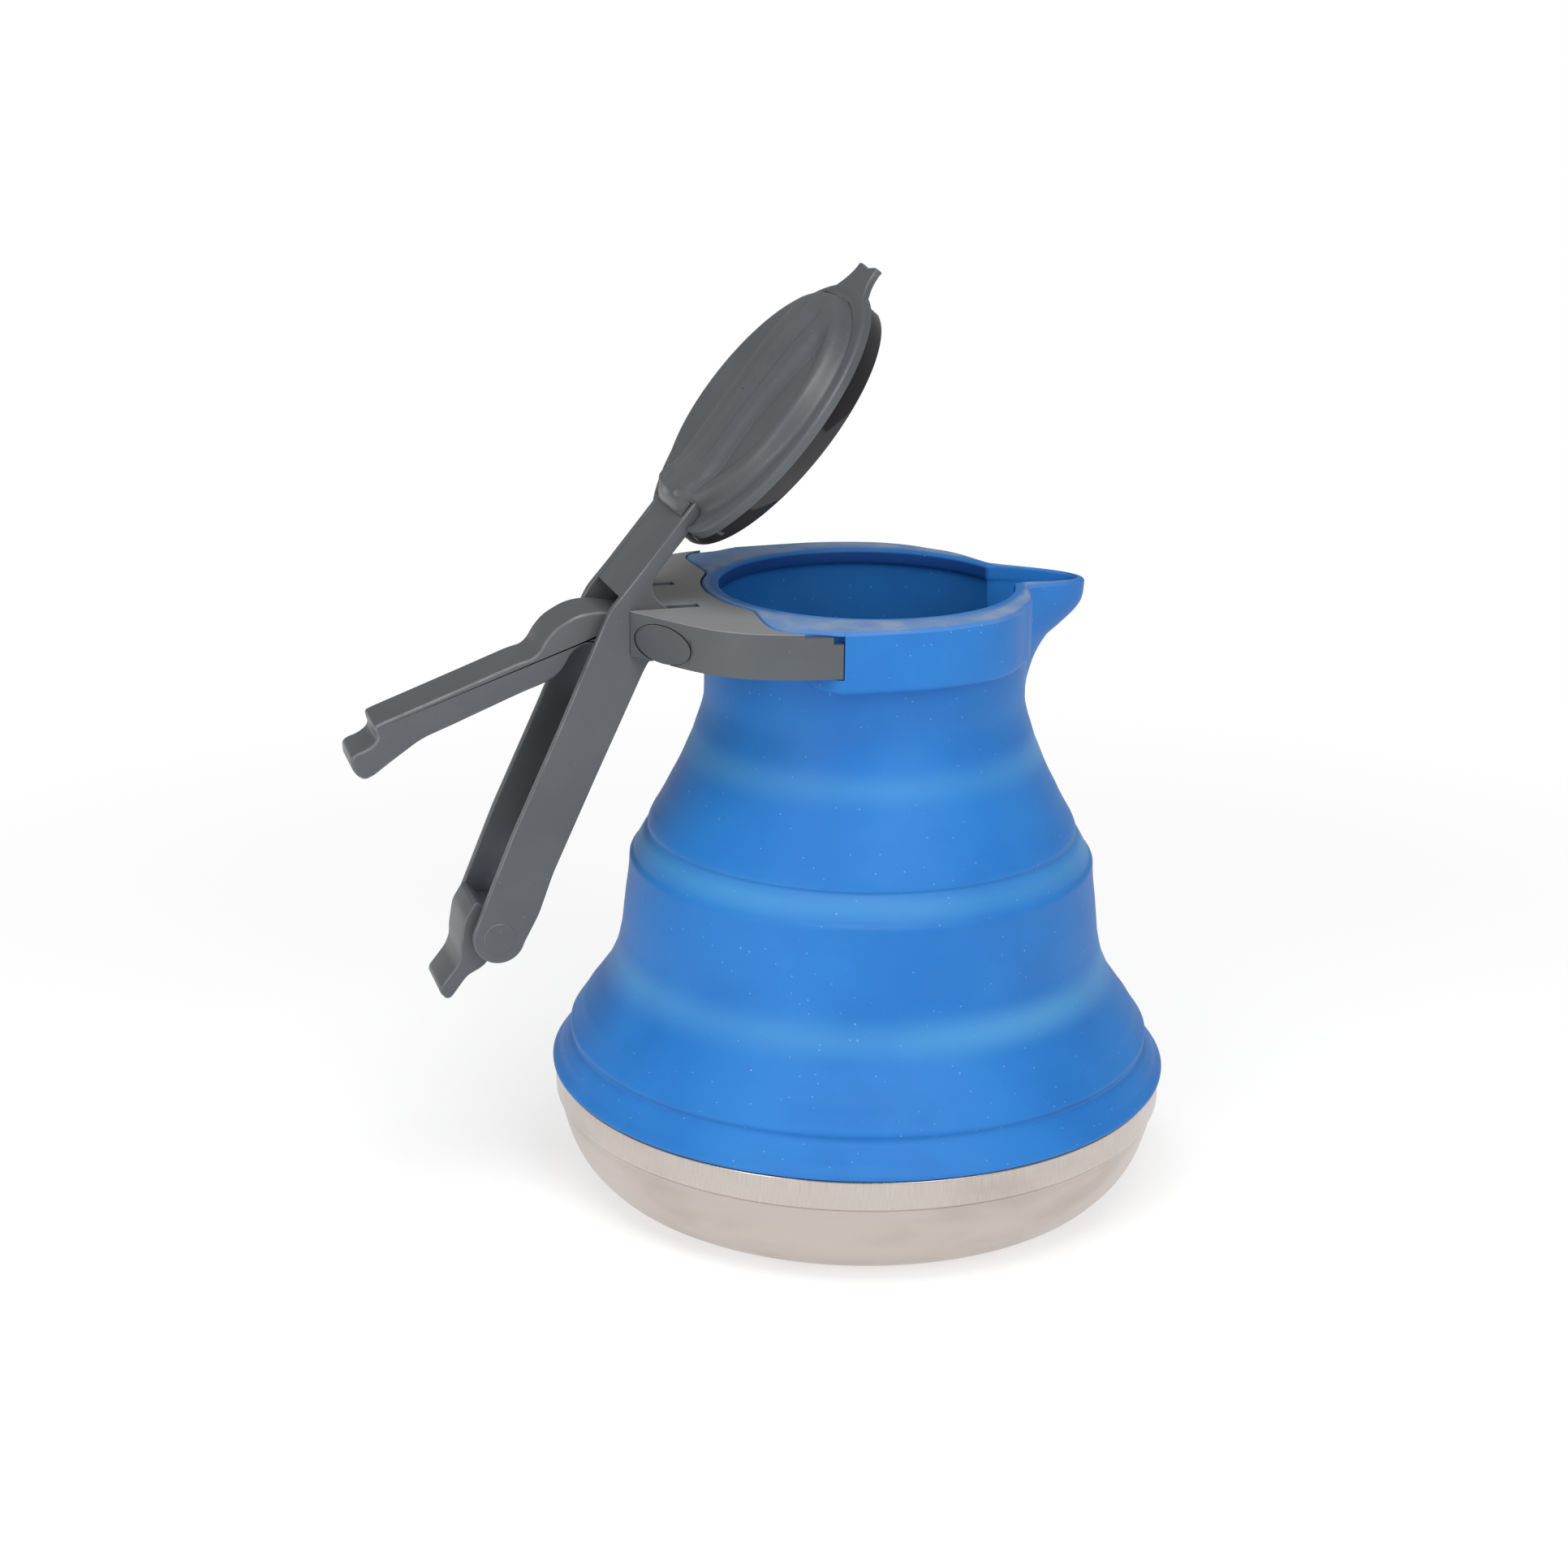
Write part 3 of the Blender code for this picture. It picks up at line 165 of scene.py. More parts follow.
def grid_quads(rows: int, columns: int, close_rows: bool, close_columns: bool) -> np.ndarray:
    """Quads of a grid of points stored row by row, joined round in either direction where asked.

    Args:
        rows: rows of the grid.
        columns: points in a row.
        close_rows: whether the last row joins the first.
        close_columns: whether each row's end joins its start.

    Returns:
        (m, 4) point numbers.
    """
    i = np.arange(rows if close_rows else rows - 1)[:, None]
    j = np.arange(columns if close_columns else columns - 1)[None, :]
    up, on = (i + 1) % rows, (j + 1) % columns
    corners = (i * columns + j, i * columns + on, up * columns + on, up * columns + j)
    quads = np.stack(np.broadcast_arrays(*corners), axis=-1)
    return quads.reshape(-1, 4)


def smooth_step(value: np.ndarray, low: float, high: float) -> np.ndarray:
    """Zero below low, one above high, and three t squared minus two t cubed between them."""
    t = np.clip((value - low) / (high - low), 0.0, 1.0)
    return t * t * (3.0 - 2.0 * t)


def turned_about_hinge(points: np.ndarray, angle: float) -> np.ndarray:
    """Points turned about the hinge axis, from lid shut towards lid open for a positive angle.

    Args:
        points: (n, 3) points.
        angle: turn in radians.

    Returns:
        (n, 3) points.
    """
    p = np.asarray(points, float) - HINGE
    c, s = math.cos(angle), math.sin(angle)
    return np.stack([p[:, 0] * c - p[:, 2] * s, p[:, 1], p[:, 0] * s + p[:, 2] * c], axis=1) + HINGE


@dataclass
class Surface:
    """Points and faces of one closed form, in millimetres, with a wear value per point.

    Attributes:
        points: (n, 3) points.
        quads: (m, 4) faces.
        caps: many-sided end faces, as lists of point numbers.
        wear: (n,) share of edge wear with painted edge highlight on plastic rims, and of dust on the collar's
            top, read by the materials.
    """

    points: np.ndarray
    quads: np.ndarray
    caps: list[list[int]] = field(default_factory=list)
    wear: np.ndarray | None = None

    def moved(self, points: np.ndarray) -> "Surface":
        """The same form on other points."""
        return Surface(points, self.quads, self.caps, self.wear)


def merged(surfaces: list[Surface]) -> Surface:
    """Several forms as one, their point numbers shifted by what comes before.

    Args:
        surfaces: the forms in order.

    Returns:
        One form, with no wear where a form had none.
    """
    counts = np.array([len(s.points) for s in surfaces])
    starts = np.concatenate([[0], np.cumsum(counts)[:-1]])
    caps = [[int(start) + k for k in cap] for start, s in zip(starts, surfaces) for cap in s.caps]
    quads = np.concatenate([s.quads + start for start, s in zip(starts, surfaces)])
    wear = np.concatenate([np.zeros(len(s.points)) if s.wear is None else s.wear for s in surfaces])
    return Surface(np.concatenate([s.points for s in surfaces]), quads, caps, wear)


def plate(outline: np.ndarray, low: float, high: float, axis: Axis, edge: float, steps: int = 6) -> Surface:
    """Prism with rounded rims.

    Going round the rim, the outline is inset by edge times one minus the sine while it climbs edge times one
    minus the cosine of an angle that runs from zero to a right angle.

    Args:
        outline: (n, 2) closed outline, (x, y) for axis Z and (x, z) for axis Y.
        low: lower end along the axis.
        high: upper end along the axis.
        axis: direction of the thickness.
        edge: rounding of both rims.
        steps: samples over each rounding.

    Returns:
        The closed form, with wear and painted highlight along its rims.
    """
    line = counter_clockwise(outline)
    turn = np.linspace(0.0, 0.5 * math.pi, steps)
    depth = np.concatenate([edge * (1 - np.sin(turn)), edge * (1 - np.sin(turn[::-1]))])
    level = np.concatenate([low + edge * (1 - np.cos(turn)), high - edge * (1 - np.cos(turn[::-1]))])
    rings = np.stack([
        np.column_stack([inset_outline(line, d), np.full(len(line), v)]) for d, v in zip(depth, level)
    ])
    # Wear peaks halfway round each rounding, where the plastic shows rubbed edges and a painted highlight.
    wear = np.repeat(np.concatenate([np.sin(2 * turn), np.sin(2 * turn[::-1])]), len(line))
    points = rings.reshape(-1, 3)
    if axis is Axis.Y:
        points = points[:, [0, 2, 1]]
    count, rows = len(line), len(depth)
    quads = grid_quads(rows, count, False, True)
    bottom, top = list(range(count))[::-1], list(range((rows - 1) * count, rows * count))
    if axis is Axis.Y:
        quads = quads[:, ::-1]
        bottom, top = bottom[::-1], top[::-1]
    return Surface(points, quads, [bottom, top], wear)


def turned_rows(profile: np.ndarray, columns: int) -> np.ndarray:
    """Turned points, row by row: each radius of the profile times the cosine and sine of the turn angle.

    Args:
        profile: (n, 2) radii and levels.
        columns: points round the axis.

    Returns:
        (n * columns, 3) points.
    """
    at = np.arange(columns) * (TURN / columns)
    radius, level = profile[:, :1], profile[:, 1:]
    rows = np.stack(np.broadcast_arrays(radius * np.cos(at), radius * np.sin(at), level), axis=-1)
    return rows.reshape(-1, 3)


def make_piece(
    name: str, form: Surface, body: str, nodes: tuple[str, ...], slot: str, shading: Shading
) -> bpy.types.Object:
    """Object of a form, riding on a body and standing for CAD nodes.

    Args:
        name: piece name.
        form: the form, in millimetres.
        body: body it rides on, or an empty text for none.
        nodes: CAD nodes it stands for.
        slot: material slot of the record; it only decides whether the point count is logged.
        shading: smooth all over, or crisp at sharp edges.

    Returns:
        The object at the origin.
    """
    mesh = bpy.data.meshes.new(name)
    mesh.from_pydata((form.points * MM).tolist(), [], form.quads.tolist() + form.caps)
    if form.wear is not None:
        mesh.attributes.new("wear", "FLOAT", "POINT").data.foreach_set("value", form.wear.astype(np.float32))
    edit = bmesh.new()
    edit.from_mesh(mesh)
    bmesh.ops.recalc_face_normals(edit, faces=edit.faces)
    if edit.calc_volume(signed=True) < 0.0:
        bmesh.ops.reverse_faces(edit, faces=edit.faces)
    edit.to_mesh(mesh)
    edit.free()
    mesh.polygons.foreach_set("use_smooth", np.arange(len(mesh.polygons)) < len(form.quads))
    mesh.set_sharp_from_angle(angle=math.radians(shading.value))
    piece = bpy.data.objects.new(name, mesh)
    bpy.context.scene.collection.objects.link(piece)
    if body:
        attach(piece, body)
    if nodes:
        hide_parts(*nodes)
    if slot:
        LOG.info("%s: %d points", name, len(form.points))
    return piece


def grey_piece(name: str, form: Surface, body: str, node: str) -> bpy.types.Object:
    """Piece of the grey plastic, crisp at its sharp edges."""
    return make_piece(name, form, body, (node,), "grey_plastic", Shading.CRISP)


def prism(outline: np.ndarray, low: float, high: float, axis: Axis = Axis.Z) -> Surface:
    """Prism with plain edges."""
    return plate(outline, low, high, axis, 0.0, 1)


def block(low: tuple[float, float, float], high: tuple[float, float, float]) -> Surface:
    """Box between two corners."""
    (x0, y0, z0), (x1, y1, z1) = low, high
    return prism(np.array(((x0, y0), (x1, y0), (x1, y1), (x0, y1))), z0, z1)


def carve(piece: bpy.types.Object, steps: list[tuple[str, Surface]], crisp: float) -> None:
    """Unite a piece with forms and cut forms out of it.

    Args:
        piece: the piece, changed in place.
        steps: (UNION or DIFFERENCE, form) in order.
        crisp: angle in degrees above which an edge is shaded sharp.
    """
    for operation, form in steps:
        tool = make_piece("tool", form, "", (), "", Shading.CRISP)
        step = piece.modifiers.new("carve", "BOOLEAN")
        step.operation = operation
        step.solver = "EXACT"
        step.object = tool
        bpy.context.view_layer.update()
        graph = bpy.context.evaluated_depsgraph_get()
        mesh = bpy.data.meshes.new_from_object(piece.evaluated_get(graph))
        piece.modifiers.clear()
        old, piece.data = piece.data, mesh
        mesh.name = piece.name
        bpy.data.meshes.remove(old)
        bpy.data.objects.remove(tool, do_unlink=True)
    piece.data.polygons.foreach_set("use_smooth", np.ones(len(piece.data.polygons), bool))
    piece.data.set_sharp_from_angle(angle=math.radians(crisp))


def rounded(piece: bpy.types.Object, width: float) -> None:
    """Round a piece's sharp edges with a live bevel of a width in millimetres.

    Args:
        piece: the piece, changed in place.
        width: width of the bevel.
    """
    rounding = piece.modifiers.new("rounding", "BEVEL")
    rounding.width = width * MM
    rounding.segments = 3
    rounding.harden_normals = True
    rounding.limit_method = "ANGLE"
    rounding.angle_limit = math.radians(38.0)


def dress(piece: bpy.types.Object, material: bpy.types.Material) -> None:
    """Give a piece one material."""
    piece.data.materials.clear()
    piece.data.materials.append(material)


# Shader helpers


class Wire:
    """One output socket, so that shader maths reads as plain expressions."""

    def __init__(self, nodes: "NodeSet", socket: bpy.types.NodeSocket) -> None:
        """Keep the socket and the node set that it belongs to."""
        self.nodes = nodes
        self.socket = socket

    def _math(self, operation: str, first: "Wire | float", second: "Wire | float") -> "Wire":
        """One Math node on two values."""
        return self.nodes.add("ShaderNodeMath", {"operation": operation}, {0: first, 1: second})

    def __add__(self, other: "Wire | float") -> "Wire":
        """Sum."""
        return self._math("ADD", self, other)

    __radd__ = __add__

    def __mul__(self, other: "Wire | float") -> "Wire":
        """Product."""
        return self._math("MULTIPLY", self, other)

    __rmul__ = __mul__

    def __sub__(self, other: "Wire | float") -> "Wire":
        """Difference."""
        return self._math("SUBTRACT", self, other)

    def __rsub__(self, other: "Wire | float") -> "Wire":
        """Difference from a number."""
        return self._math("SUBTRACT", other, self)

    def __pow__(self, other: "Wire | float") -> "Wire":
        """Power."""
        return self._math("POWER", self, other)

    def step(self, low: float, high: float) -> "Wire":
        """Smooth step from zero at low to one at high.

        Args:
            low: value at which the step starts.
            high: value at which it ends.

        Returns:
            The stepped value.
        """
        settings = {"interpolation_type": "SMOOTHSTEP"}
        inputs = {"Value": self, "From Min": low, "From Max": high}
        return self.nodes.add("ShaderNodeMapRange", settings, inputs)

    def bump_at(self, centre: float, width: float) -> "Wire":
        """One at a centre, falling to zero at a width either side of it."""
        off = self._math("SUBTRACT", self, centre)
        return 1.0 - self.nodes.add("ShaderNodeMath", {"operation": "ABSOLUTE"}, {0: off}).step(0.0, width)


class NodeSet:
    """Node tree of one material, with its shader."""

    def __init__(self, name: str) -> None:
        """Start a material with a bare Principled shader.

        Args:
            name: material name.
        """
        self.material = bpy.data.materials.new(name)
        self.material.use_nodes = True
        self.tree = self.material.node_tree
        self.shader = self.tree.nodes["Principled BSDF"]

    def add(
        self, kind: str, settings: dict[str, object], inputs: dict[str | int, object], out: str | int = 0
    ) -> Wire:
        """Add one node.

        Args:
            kind: node type.
            settings: attributes, set first.
            inputs: values or wires by socket name or number.
            out: output to return.

        Returns:
            The chosen output.
        """
        node = self.tree.nodes.new(kind)
        for key, value in settings.items():
            setattr(node, key, value)
        for key, value in inputs.items():
            self.feed(node.inputs[key], value)
        return Wire(self, node.outputs[out])

    def feed(self, socket: bpy.types.NodeSocket, value: object) -> None:
        """Link a wire to a socket, or set its value.

        Args:
            socket: the input.
            value: a wire, or a plain value.
        """
        if isinstance(value, Wire):
            self.tree.links.new(value.socket, socket)
        else:
            socket.default_value = value

    def place(self) -> Wire:
        """Object coordinates."""
        return self.add("ShaderNodeTexCoord", {}, {}, "Object")

    def axis(self, name: str) -> Wire:
        """One object coordinate, in metres."""
        return self.add("ShaderNodeSeparateXYZ", {}, {0: self.place()}, name)

    def wear(self) -> Wire:
        """The piece's own wear value, which on plastic rims also carries a painted highlight."""
        return self.add("ShaderNodeAttribute", {"attribute_name": "wear"}, {}, "Fac")

    def noise(self, scale: float, detail: float = 3.0, vector: Wire | None = None) -> Wire:
        """Noise on object coordinates, or on a given vector."""
        inputs = {"Vector": vector or self.place(), "Scale": scale, "Detail": detail}
        return self.add("ShaderNodeTexNoise", {}, inputs, "Fac")

    def specks(self, scale: float, size: float, share: float) -> Wire:
        """Small sparse spots: cells of a scale, of which a share holds a spot of a size in cell widths.

        Args:
            scale: cells per metre.
            size: radius of a spot in cell widths.
            share: share of cells with a spot.

        Returns:
            One on a spot and zero off it.
        """
        settings = {"feature": "F1"}
        inputs = {"Vector": self.place(), "Scale": scale}
        near = self.add("ShaderNodeTexVoronoi", settings, inputs, "Distance")
        cell = self.add("ShaderNodeTexVoronoi", settings, inputs, "Color")
        pick = self.add("ShaderNodeSeparateColor", {}, {0: cell}, 0)
        return (1.0 - near.step(size * 0.5, size)) * pick.step(1.0 - share, 1.0 - share + 0.01)

    def mix(self, factor: Wire | float, first: object, second: object) -> Wire:
        """Mix two colours."""
        settings = {"data_type": "RGBA"}
        return self.add("ShaderNodeMix", settings, {0: factor, 6: first, 7: second}, 2)

    def bump(self, height: Wire, strength: float, distance: float, under: Wire | None = None) -> Wire:
        """Bump from a height, over another where one is given.

        Args:
            height: the height pattern.
            strength: strength of the bump.
            distance: its depth in metres.
            under: a bump that this one lies on.

        Returns:
            The bent normal.
        """
        inputs: dict[str | int, object] = {"Height": height, "Strength": strength, "Distance": distance}
        if under is not None:
            inputs["Normal"] = under
        return self.add("ShaderNodeBump", {}, inputs)

    def finish(self, **sockets: object) -> bpy.types.Material:
        """Feed the shader's sockets, named with underscores for spaces, and return the material.

        Args:
            sockets: values or wires by socket name.

        Returns:
            The finished material.
        """
        for key, value in sockets.items():
            self.feed(self.shader.inputs[key.replace("_", " ")], value)
        return self.material


@dataclass(frozen=True)
class SiliconeFinish:
    """Satin moulded silicone with paler folds, pale dust, tiny flecks and painted shade inside the neck.

    Attributes:
        deep: colour in the shade of the folds.
        body: main colour.
        fold: colour of the stretched folds.
        dust: colour of dusty flats.
        inner: painted shade inside the neck, a deeper blue than the body.
        fleck: colour of the tiny flecks.
        roughness: main roughness.
        folds: (level, half width) of each pale fold in metres.
    """

    deep: tuple[float, ...] = (0.016, 0.165, 0.520, 1.0)
    body: tuple[float, ...] = (0.023, 0.200, 0.585, 1.0)
    fold: tuple[float, ...] = (0.072, 0.300, 0.610, 1.0)
    dust: tuple[float, ...] = (0.270, 0.360, 0.510, 1.0)
    inner: tuple[float, ...] = (0.006, 0.052, 0.260, 1.0)
    fleck: tuple[float, ...] = (0.30, 0.46, 0.72, 1.0)
    roughness: float = 0.46
    folds: tuple[tuple[float, float], ...] = ((0.1325, 0.0065), (0.1035, 0.0060), (0.0680, 0.0075))

    def material(self, name: str) -> bpy.types.Material:
        """The silicone material.

        Args:
            name: material name.

        Returns:
            The material; wear on the piece turns into dust.
        """
        n = NodeSet(name)
        level = n.axis("Z")
        cloud = n.noise(28.0, 4.0)
        drift = n.noise(9.0, 2.0)
        colour = n.mix(cloud.step(0.30, 0.72), self.deep, self.body)
        pale: Wire | float = 0.0
        for centre, width in self.folds:
            pale = level.bump_at(centre, width) + pale
        pale = pale * (0.35 + 0.65 * drift.step(0.30, 0.66))
        colour = n.mix(pale, colour, self.fold)
        # Painted shade: inside the neck the blue turns to the deeper inner colour.
        x, y = n.axis("X"), n.axis("Y")
        off = (x * x + y * y) ** 0.5
        shaded_neck_levels = level.step(0.150, 0.160) * (1.0 - level.step(0.1774, 0.1783))
        within = (1.0 - off.step(0.0418, 0.0432)) * shaded_neck_levels
        colour = n.mix(within * 0.92, colour, self.inner)
        flecks = n.specks(520.0, 0.14, 0.20)
        lint = n.specks(260.0, 0.10, 0.10)
        dusty = n.wear() * (0.55 + 0.45 * n.noise(120.0, 5.0).step(0.30, 0.70))
        colour = n.mix(dusty, colour, self.dust)
        colour = n.mix((flecks + lint) * 0.55, colour, self.fleck)
        rough = self.roughness + 0.10 * cloud + 0.22 * dusty
        grain = n.bump(n.noise(900.0, 2.0), 0.10, 0.0002)
        waves = n.bump(n.noise(60.0, 2.0), 0.05, 0.001, grain)
        return n.finish(Base_Color=colour, Roughness=rough, Normal=waves, Specular_IOR_Level=0.28)


@dataclass(frozen=True)
class SteelFinish:
    """Satin stainless steel, brushed upright round the rim.

    Attributes:
        tint: main colour.
        shade: colour of the stained streaks.
        bright: colour of the brushed lines.
        band: level in metres above which the steel is brushed upright.
    """

    tint: tuple[float, ...] = (0.535, 0.475, 0.435, 1.0)
    shade: tuple[float, ...] = (0.37, 0.31, 0.27, 1.0)
    bright: tuple[float, ...] = (0.80, 0.73, 0.68, 1.0)
    band: float = 0.0262

    def material(self, name: str) -> bpy.types.Material:
        """The steel material.

        Args:
            name: material name.

        Returns:
            The material.
        """
        n = NodeSet(name)
        x, y, z = n.axis("X"), n.axis("Y"), n.axis("Z")
        turn = n.add("ShaderNodeMath", {"operation": "ARCTAN2"}, {0: y, 1: x})
        upright = n.add("ShaderNodeCombineXYZ", {}, {0: turn * 260.0, 1: z * 45.0, 2: 0.0})
        fine = n.noise(3.0, 4.0, upright)
        sweep = n.add("ShaderNodeCombineXYZ", {}, {0: turn * 2.0, 1: z * 55.0, 2: 0.3})
        stain = n.noise(1.4, 3.0, sweep)
        round_lines = n.add("ShaderNodeCombineXYZ", {}, {0: turn * 1.4, 1: z * 2600.0, 2: 0.7})
        spun = n.noise(1.0, 3.0, round_lines)
        on_band = z.step(self.band - 0.0006, self.band + 0.0006)
        colour = n.mix(stain.step(0.40, 0.75) * 0.45, self.tint, self.shade)
        colour = n.mix(on_band * fine.step(0.35, 0.75) * 0.35, colour, self.bright)
        rough = 0.25 + 0.08 * stain + on_band * (fine - 0.5) * 0.16
        lines = n.bump(on_band * fine + (1.0 - on_band) * spun * 0.35, 0.08, 0.0002)
        return n.finish(Base_Color=colour, Roughness=rough, Normal=lines, Metallic=1.0)


@dataclass(frozen=True)
class PlasticFinish:
    """Moulded grey plastic, a little rubbed and pale along its edges, the paleness partly a painted
    highlight; a flat top above a set level is pale with dust and painted top light.

    Attributes:
        body: main colour.
        light: colour of rubbed edges, partly a painted highlight, and of scuffs.
        roughness: main roughness.
        dust_and_top_light_above: level in metres above which a flat top is paler with dust and painted top
            light.
        dust: colour of that top, pale with dust and painted top light.
        fleck: colour of the tiny flecks.
    """

    body: tuple[float, ...] = (0.077, 0.085, 0.093, 1.0)
    light: tuple[float, ...] = (0.205, 0.212, 0.222, 1.0)
    roughness: float = 0.40
    dust_and_top_light_above: float = 9.0
    dust: tuple[float, ...] = (0.27, 0.272, 0.28, 1.0)
    fleck: tuple[float, ...] = (0.42, 0.43, 0.44, 1.0)

    def material(self, name: str) -> bpy.types.Material:
        """The plastic material.

        Args:
            name: material name.

        Returns:
            The material.
        """
        n = NodeSet(name)
        cloud = n.noise(45.0, 4.0)
        colour = n.mix(cloud.step(0.30, 0.75) * 0.12, self.body, self.light)
        # Pale edges: rubbed wear and a painted highlight along the rounded rims.
        rubbed_and_highlit = n.wear() * (0.35 + 0.65 * n.noise(160.0, 4.0).step(0.38, 0.66))
        colour = n.mix(rubbed_and_highlit * 0.70, colour, self.light)
        # Dust and painted top light: above the level the flat top turns paler.
        dusty = n.axis("Z").step(self.dust_and_top_light_above, self.dust_and_top_light_above + 0.0003)
        colour = n.mix(dusty * (0.70 + 0.30 * cloud), colour, self.dust)
        flecks = n.specks(600.0, 0.12, 0.10)
        colour = n.mix(flecks * 0.4, colour, self.fleck)
        rough = self.roughness - 0.04 + 0.08 * cloud
        grain = n.bump(n.noise(1400.0, 2.0), 0.14, 0.0002)
        return n.finish(Base_Color=colour, Roughness=rough, Normal=grain, Specular_IOR_Level=0.5)


@dataclass(frozen=True)
class GlossFinish:
    """Black glossy moulding.

    Attributes:
        body: main colour.
        cloudy: colour of its paler patches.
        roughness: main roughness.
    """

    body: tuple[float, ...] = (0.012, 0.012, 0.015, 1.0)
    cloudy: tuple[float, ...] = (0.030, 0.028, 0.030, 1.0)
    roughness: float = 0.07

    def material(self, name: str) -> bpy.types.Material:
        """The gloss material.

        Args:
            name: material name.

        Returns:
            The material.
        """
        n = NodeSet(name)
        cloud = n.noise(60.0, 3.0)
        colour = n.mix(cloud.step(0.4, 0.8) * 0.5, self.body, self.cloudy)
        return n.finish(
            Base_Color=colour,
            Roughness=self.roughness + 0.06 * cloud,
            Normal=n.bump(n.noise(40.0, 2.0), 0.04, 0.001),
            Specular_IOR_Level=0.6,
        )


@dataclass
class Finishes:
    """The materials that the pieces share."""

    silicone: bpy.types.Material
    steel: bpy.types.Material
    plastic: bpy.types.Material
    dust_and_top_light_plastic: bpy.types.Material
    gloss: bpy.types.Material


def make_finishes() -> Finishes:
    """Make each material once.

    Returns:
        The shared materials.
    """
    return Finishes(
        SiliconeFinish().material("blue_silicone_finish"),
        SteelFinish().material("steel_finish"),
        PlasticFinish().material("grey_plastic_finish"),
        # The yoke's top is pale with dust and painted top light.
        PlasticFinish(dust_and_top_light_above=0.1779).material("dust_and_top_light_plastic_finish"),
        GlossFinish().material("black_gloss_finish"),
    )


# Sub-assemblies


@dataclass
class Pan:
    """Steel pan and the ring inside it.

    Attributes:
        outer: (radius, level) of the outside, from the flat underside up to the rim.
        wall: sheet thickness.
        rim: outer radius of the band, and level of the rolled rim's centre.
        columns: points round the pan.
    """

    outer: tuple[tuple[float, float], ...] = (
        (64.0, 0.0), (69.0, 0.35), (73.5, 1.6), (77.6, 3.7), (80.6, 6.6), (83.0, 9.6), (84.9, 13.0),
        (86.2, 16.2), (87.1, 19.2), (87.75, 21.6), (88.1, 23.4), (88.15, 24.6), (88.35, 25.3), (89.1, 26.1),
        (89.55, 26.9), (89.6, 28.0), (89.6, 30.5), (89.6, 33.0), (89.6, 34.2),
    )
    wall: float = 0.9
    rim: tuple[float, float] = (89.6, 34.15)
    columns: int = 256

    def form(self) -> Surface:
        """Pan shell: smooth outer profile, rolled rim, and the same profile one wall further in, turned.

        Returns:
            The form with its two end faces.
        """
        outer = curve_through(np.array(self.outer), 5)
        outer[:, 0] = np.minimum(outer[:, 0], self.rim[0])
        outer[:, 1] = np.maximum(outer[:, 1], 0.0)
        inner = outer[::-1] - (self.wall, 0.0)
        inner[:, 1] = np.maximum(inner[:, 1], self.wall)
        rim = arc((self.rim[0] - self.wall / 2, self.rim[1]), self.wall / 2, 0.0, 180.0, 7)
        profile = np.concatenate([outer[:-1], rim, inner[1:]])
        count = self.columns
        quads = grid_quads(len(profile), count, False, True)
        caps = [list(range(count))[::-1], list(range((len(profile) - 1) * count, len(profile) * count))]
        return Surface(turned_rows(profile, count), quads, caps)

    def build(self, finishes: Finishes) -> None:
        """Make the pan and finish the ring inside it.

        Args:
            finishes: the shared materials.
        """
        pan = make_piece("pan_shell", self.form(), "base", ("steel_pan",), "brushed_steel", Shading.SMOOTH)
        dress(pan, finishes.steel)
        dress(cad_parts["clamp_ring"], finishes.steel)


